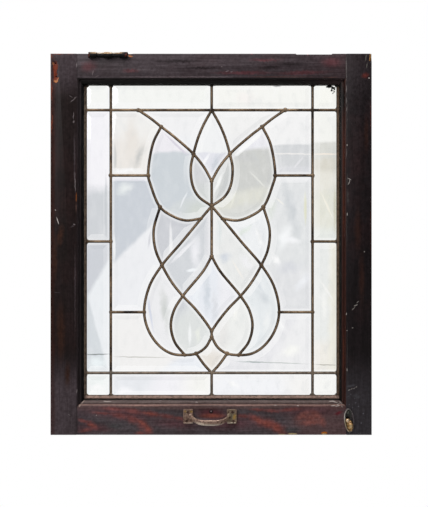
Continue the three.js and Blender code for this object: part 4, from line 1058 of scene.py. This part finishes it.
# Old metal fittings and putty. Tones run from the pits to the rubbed places. Grain is in pits per metre: real pits are
# under half a millimetre, and are drawn 2 to 4 mm wide so that they show.
fittingSet = {
    "pits": {"Detail": 5, "Roughness": 0.65}, "cloud": {"Scale": 90, "Detail": 3},  # 11 mm
    "ragged": {"Scale": 500, "Detail": 3},  # 2 mm
    "pitted": [(0.36, "#8f8480"), (0.5, "#ffffff")], "shownPits": 0.6, "relief": 0.6,
    "front": (-0.1, -0.4),  # marks fade out on faces that turn away from the room
    "spread": (0.35, 0.65),  # where most of the noise lies, for the roughness
}
fittingLook = {
    "aged cast brass": {  # sand cast, lacquer gone: pinkish tan skin, brassy where rubbed, dark in the pits
        "tones": [(0.32, "#4a342c"), (0.42, "#8a6c5e"), (0.54, "#a98c7c"), (0.7, "#c4a992")], "grain": 330,
        "metal": 0.35, "rough": (0.3, 0.55),
        "marks": [
            ("#8d8068", 1, 2, [(39, -677, 90, 26, 16)]),
            ("#c09a50", 0.9, 1.5, [(43.5, -678, 80, 8, 4.5), (-48, -668, 0, 4, 3), (-37, -668, 0, 4, 3)]),
            ("#4a2a24", 0.7, 0.8, [
                (32, -669, 80, 2.4, 1.6), (34.6, -679, 50, 4, 2.4), (-45, -684, 60, 3, 1.6),
                (-39.4, -677.5, 60, 2, 1.2),
            ]),
            # pale streaks along the bar: painted highlights
            ("#e0cab8", 0.9, 1, [(-20, -686.5, -6, 16, 3.5), (-44, -667.5, 0, 4, 2)]),
            ("#d2c8ba", 1, 0.8, [(0, -690.2, 0, 66, 4.6)]),
        ],
    },
    "dark screw iron": {  # drawn and slotted steel, blacked once: brown rust with bare metal at the rims
        "tones": [(0.35, "#3a2820"), (0.55, "#64493d"), (0.7, "#8a7060")], "grain": 500, "metal": 0.4,
        "rough": (0.4, 0.6),
    },
    "rusty iron": {  # wrought leaf, japanned black and rusted: near black barrel, tan along the edge, partly rubbed bare and partly painted light
        "tones": [(0.35, "#050404"), (0.5, "#0c0a0b"), (0.68, "#1a1416")], "grain": 260, "metal": 0.1,
        "rough": (0.6, 0.8), "gloss": 0.15,
        "washes": [("#3c261c", -192, 0.6, 90, 0.3, 0.3, 0.6)],
        "marks": [
            ("#c4a684", 0.4, 0.9, [(-192, 0.7, 0, 42, 2.5)]),
            # bright spots on the edge: painted highlights
            ("#fff0dc", 0.8, 1, [(-184, 1.2, 0, 9, 2), (-209, 0.8, 0, 9, 1.6)]),
            ("#1a060a", 0.8, 1.5, [(-160, 0.4, 0, 9, 2.6), (-228, 1.4, 0, 4, 1.5)]),
            ("#5a2c20", 0.9, 1, [(-158, -4, 60, 6, 3), (-227.5, -5, 90, 6, 2)]),
        ],
    },
    "worn brass rim": {  # thin pressed plate, tarnished grey with green down in the well
        "tones": [(0.35, "#3d383a"), (0.5, "#5e565a"), (0.68, "#807679")], "grain": 420, "metal": 0.15,
        "rough": (0.5, 0.7), "gloss": 0.3,
        "marks": [
            # the near black spot at the top of the well is painted shade
            ("#555652", 0.5, 0.6, [(257, -674, 85, 13, 8)]), ("#19150c", 0.6, 0.5, [(255.6, -680.8, 0, 5, 3)]),
            # light arcs on the rim: painted highlights
            ("#d4cdc4", 0.8, 0.8, [(252.4, -668.6, 60, 8, 2.6), (249.2, -679, 92, 12, 1.8)]),
            ("#98a094", 0.8, 0.6, [(256.6, -671.4, 60, 4, 2.4)]),
            ("#b8a488", 0.9, 1, [(251.5, -693, 105, 14, 2.6), (255.4, -703.6, 120, 8, 2.4)]),
            ("#7a6a48", 0.8, 0.8, [(261, -700, 90, 7, 4)]),
        ],
    },
    "worn yellow brass": {  # cast and polished by thumbs: golden on the swell with painted highlights, brown in the hollows
        "tones": [(0.34, "#80603a"), (0.5, "#b38c56"), (0.68, "#d8b07a")], "grain": 300, "metal": 0.45,
        "rough": (0.2, 0.42),
        "marks": [
            # cream and pale gold spots here and on the lowest lobe: painted highlights
            ("#f4dcc0", 0.8, 0.5, [(254.8, -685, 60, 4.4, 3.2)]), ("#f6d8a6", 0.8, 0.5, [(260.6, -695.4, 70, 5, 3.8)]),
            ("#cf9f88", 0.8, 0.6, [(258.6, -688.6, -20, 4.4, 1.4)]),
            ("#80603a", 0.8, 0.6, [(256.6, -692.6, 75, 5, 1.4), (258.6, -701, 40, 4, 1.4)]),
            ("#e4d8bc", 0.8, 0.5, [(261.8, -705.2, 0, 3.4, 1.6)]),
        ],
    },
    "old linseed putty": {  # knifed bead, gone hard, cracked and grimy
        "tones": [(0.34, "#6a6157"), (0.5, "#8e8578"), (0.68, "#aaa194")], "grain": 240, "metal": 0,
        "rough": (0.75, 0.95),
    },
}


def fittingMaterial(name):
    look = fittingLook[name]
    material, tree, place = newMaterial(name)
    pits = addNode(tree, "TexNoise", {"Vector": place, "Scale": look["grain"], **fittingSet["pits"]})
    cloud = addNode(tree, "TexNoise", {"Vector": place, **fittingSet["cloud"]})
    mixed = addNode(tree, "Math", [pits, cloud], operation="ADD")
    mixed = addNode(tree, "Math", [mixed, 0.5], operation="MULTIPLY")
    facing = addNode(tree, "SeparateXYZ", [addNode(tree, "NewGeometry", out="Normal")], out="Y")
    front = addNode(tree, "MapRange", [facing, *fittingSet["front"]])
    body = addNode(tree, "ValToRGB", [mixed], stops=look["tones"])
    body = wearDown(tree, place, body, look, pits, fittingSet["ragged"], front)
    pitted = addNode(tree, "ValToRGB", [pits], stops=fittingSet["pitted"])
    closeMaterial(tree, {
        "Base Color": layOver(tree, body, pitted, fittingSet["shownPits"], mode="MULTIPLY"),
        "Metallic": look["metal"], "Specular IOR Level": look.get("gloss", 0.5),
        "Roughness": addNode(tree, "MapRange", [mixed, *fittingSet["spread"], *look["rough"][::-1]]),
        "Normal": addNode(tree, "Bump", {"Height": pits, "Strength": fittingSet["relief"], "Distance": 0.3 * mm}),
    })
    return material


fittingFinish = {name: fittingMaterial(name) for name in fittingLook}

# sash lift: two dished foot plates with eased corners, and a bar that bows out and down between them
liftSet = {
    "x": -2, "z": -677, "width": 100, "plate": (18.5, 2.6, 27), "front": -20.4, "corner": 2.2, "border": 1.7,
    "dish": 0.5, "dished": 0.45, "ease": 0.45, "root": 4, "reach": 25.4, "drop": 8.25, "squareness": 3.2, "sunk": 1.2,
    "tall": (3.3, 5.1), "flatness": 0.6, "steps": 40, "around": 20, "boss": (4.6, 1.9, 5.4), "smooth": 40,
}
plateWide, plateThick = liftSet["plate"][:2]


def selectWhere(mesh, kind, test):
    # in edit mode, only the edges or faces that pass the test
    bpy.ops.object.mode_set(mode="EDIT")
    bpy.ops.mesh.select_mode(type=kind)
    bpy.ops.mesh.select_all(action="DESELECT")
    bpy.ops.object.mode_set(mode="OBJECT")
    for one in mesh.edges if kind == "EDGE" else mesh.polygons:
        one.select = test(one)
    bpy.ops.object.mode_set(mode="EDIT")


def copyAcross(piece, distance):
    # a copy with its own mesh, some millimetres to the right
    pick(piece)
    bpy.ops.object.duplicate()
    bpy.context.object.location.x = distance * mm
    return placeInMesh(bpy.context.object)


plateMiddle = (liftSet["x"] - (liftSet["width"] - plateWide) / 2, liftSet["front"] + plateThick / 2, liftSet["z"])
plate = placeInMesh(addBlock(plateMiddle, liftSet["plate"]))
corners = plate.data.vertices
selectWhere(plate.data, "EDGE", lambda edge: abs(
    corners[edge.vertices[0]].co.y - corners[edge.vertices[1]].co.y) > 0.5 * plateThick * mm)
bpy.ops.mesh.bevel(offset=liftSet["corner"] * mm, segments=5, affect="EDGES")
selectWhere(plate.data, "FACE", lambda face: face.normal.y < -0.9)
bpy.ops.mesh.inset(thickness=liftSet["border"] * mm)
bpy.ops.mesh.inset(thickness=liftSet["dish"] * mm, depth=-liftSet["dished"] * mm)
bpy.ops.object.mode_set(mode="OBJECT")
easeEdges(plate, liftSet["ease"], segments=3, sharp=60)

halfSpan = liftSet["width"] / 2 - plateWide + liftSet["root"]
knots, radii = [], []
for i in range(liftSet["steps"] + 1):
    along = 2 * i / liftSet["steps"] - 1
    bow = 1 - abs(along) ** liftSet["squareness"]
    out = liftSet["front"] + liftSet["sunk"] - liftSet["reach"] * bow
    knots.append((liftSet["x"] + halfSpan * along, out, liftSet["z"] - liftSet["drop"] * bow ** 0.8))
    radii.append(liftSet["tall"][0] + (liftSet["tall"][1] - liftSet["tall"][0]) * bow)
bar = newCurve("liftBar", knots, dimensions="3D")
bar.data.twist_mode = "Z_UP"
bar.data.splines[0].points.foreach_set("radius", radii)
turns = [2 * math.pi * i / liftSet["around"] for i in range(liftSet["around"])]
oval = sectionCurve("liftSection", [(liftSet["flatness"] * math.cos(turn), math.sin(turn)) for turn in turns])
bar = sweepAlong(bar, oval)
bpy.data.objects.remove(oval)
boss = addLump((liftSet["x"] - halfSpan, liftSet["front"], liftSet["z"]), liftSet["boss"], segments=20, rings=12)
plates = [plate, copyAcross(plate, liftSet["width"] - plateWide)]
liftParts = [*plates, bar, boss, copyAcross(boss, 2 * halfSpan)]
castLift = joinPieces(liftParts, "castSashLift")
smoothOver(castLift, liftSet["smooth"])
settle(castLift, fittingFinish["aged cast brass"], "cast_brass", "sash_lift")
print("sash lift made")

# screws: countersunk heads with a slot, each turned its own way
screwSet = {"slotLong": 8, "slotWide": 0.9, "slotDeep": 0.8, "ease": 0.25, "smooth": 35}
screws = {
    "lift_screw_1": 20, "lift_screw_2": 75, "lift_screw_3": -35, "lift_screw_4": 50,
    "hinge_screw_1": 10, "hinge_screw_2": 80, "hinge_screw_3": -50,
}
for node, turn in screws.items():
    screw = copyOfNode(node, node + "_slotted")
    low, high = (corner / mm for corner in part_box(node))
    middle, turn = (low + high) / 2, math.radians(turn)
    slotLong, slotWide, slotDeep = screwSet["slotLong"], screwSet["slotWide"], 2 * screwSet["slotDeep"]
    if node.startswith("lift"):  # heads on the room side
        slot = addBlock((middle.x, low.y, middle.z), (slotLong, slotDeep, slotWide))
        slot.rotation_euler = (0, turn, 0)
        look, metal = "dark screw iron", "cast_brass"
    else:  # heads on top
        slot = addBlock((middle.x, middle.y, high.z), (slotLong, slotWide, slotDeep))
        slot.rotation_euler = (0, 0, turn)
        look, metal = "rusty iron", "rusty_iron"
    easeEdges(screw, screwSet["ease"])
    cutAway(screw, slot)
    smoothOver(screw, screwSet["smooth"])
    settle(screw, fittingFinish[look], metal, node)
print("screws made")


def dressNode(node, name, look, slot, ease=0.0, segments=2, smooth=40):
    part = copyOfNode(node, name)
    if ease:
        easeEdges(part, ease, segments)
    smoothOver(part, smooth)
    settle(part, fittingFinish[look], slot, node)


# hinge leaf with its knuckles, its pin, and the flush cup, with softened edges
dressNode("hinge_leaf", "hinge_leaf_dressed", "rusty iron", "rusty_iron", ease=0.3)
dressNode("hinge_pin", "hinge_pin_dressed", "rusty iron", "rusty_iron", ease=0.3)
dressNode("flush_cup", "flush_cup_dressed", "worn brass rim", "worn_brass", ease=0.35, segments=3)
print("hinge leaf and flush cup made")

# the thumb piece as one swelling lever across the cup; lobes: middle x y z, then half sizes, in millimetres
thumbSet = {
    "lobes": [
        ((255.2, -16.0, -685.8), (4.7, 4.1, 4.6)), ((260.2, -16.9, -695.8), (6.0, 5.2, 6.8)),
        ((256.6, -15.4, -691.5), (4.6, 3.5, 5.0)), ((261.2, -15.6, -702.8), (4.8, 3.9, 3.8)),
        ((257.4, -15.2, -698.5), (4.6, 3.3, 4.6)), ((259.4, -16.0, -688.0), (4.2, 4.1, 2.6)),
    ],
    "voxel": 0.4, "smooth": 0.5, "passes": 4,
}
thumb = joinPieces([addLump(*lobe, segments=24, rings=16) for lobe in thumbSet["lobes"]], "thumbLever")
applyModifier(thumb, "REMESH", mode="VOXEL", voxel_size=thumbSet["voxel"] * mm)
applyModifier(thumb, "SMOOTH", factor=thumbSet["smooth"], iterations=thumbSet["passes"])
bpy.ops.object.shade_smooth()
settle(thumb, fittingFinish["worn yellow brass"], "worn_brass", "thumb_piece")

# putty bead behind the glass
dressNode("glazing_putty", "putty_bead", "old linseed putty", "old_putty", smooth=30)

# crumbs of grime lodged on the glass in the upper right corner: x z size, in millimetres
crumbSet = {
    "on": -5.3, "deep": 0.55, "ovals": (0.5, 0.9), "chips": (0.75, 1.25),
    "crumbs": [
        (217.5, -60.2, 1.9), (219.6, -59.6, 2.3), (222.0, -59.4, 2.8), (224.8, -59.6, 2.3), (221.0, -61.6, 1.4),
        (227.6, -61.0, 2.6), (229.6, -62.6, 2.9), (227.0, -63.6, 1.7), (231.4, -64.6, 2.0), (226.4, -66.8, 2.2),
        (229.4, -67.6, 1.4), (231.6, -69.4, 1.6), (229.0, -72.0, 1.7), (232.4, -61.8, 1.7),
    ],
}
crumbs = []
for x, z, size in crumbSet["crumbs"]:
    half = (size, crumbSet["deep"], size * dice.uniform(*crumbSet["ovals"]))
    crumbs.append(addLump((x, crumbSet["on"], z), half, dice.uniform(0, 3), chips=crumbSet["chips"]))
settle(joinPieces(crumbs, "grimeCrumbs"), fittingFinish["rusty iron"], "old_putty")
print("fittings finished")

deselectAll()
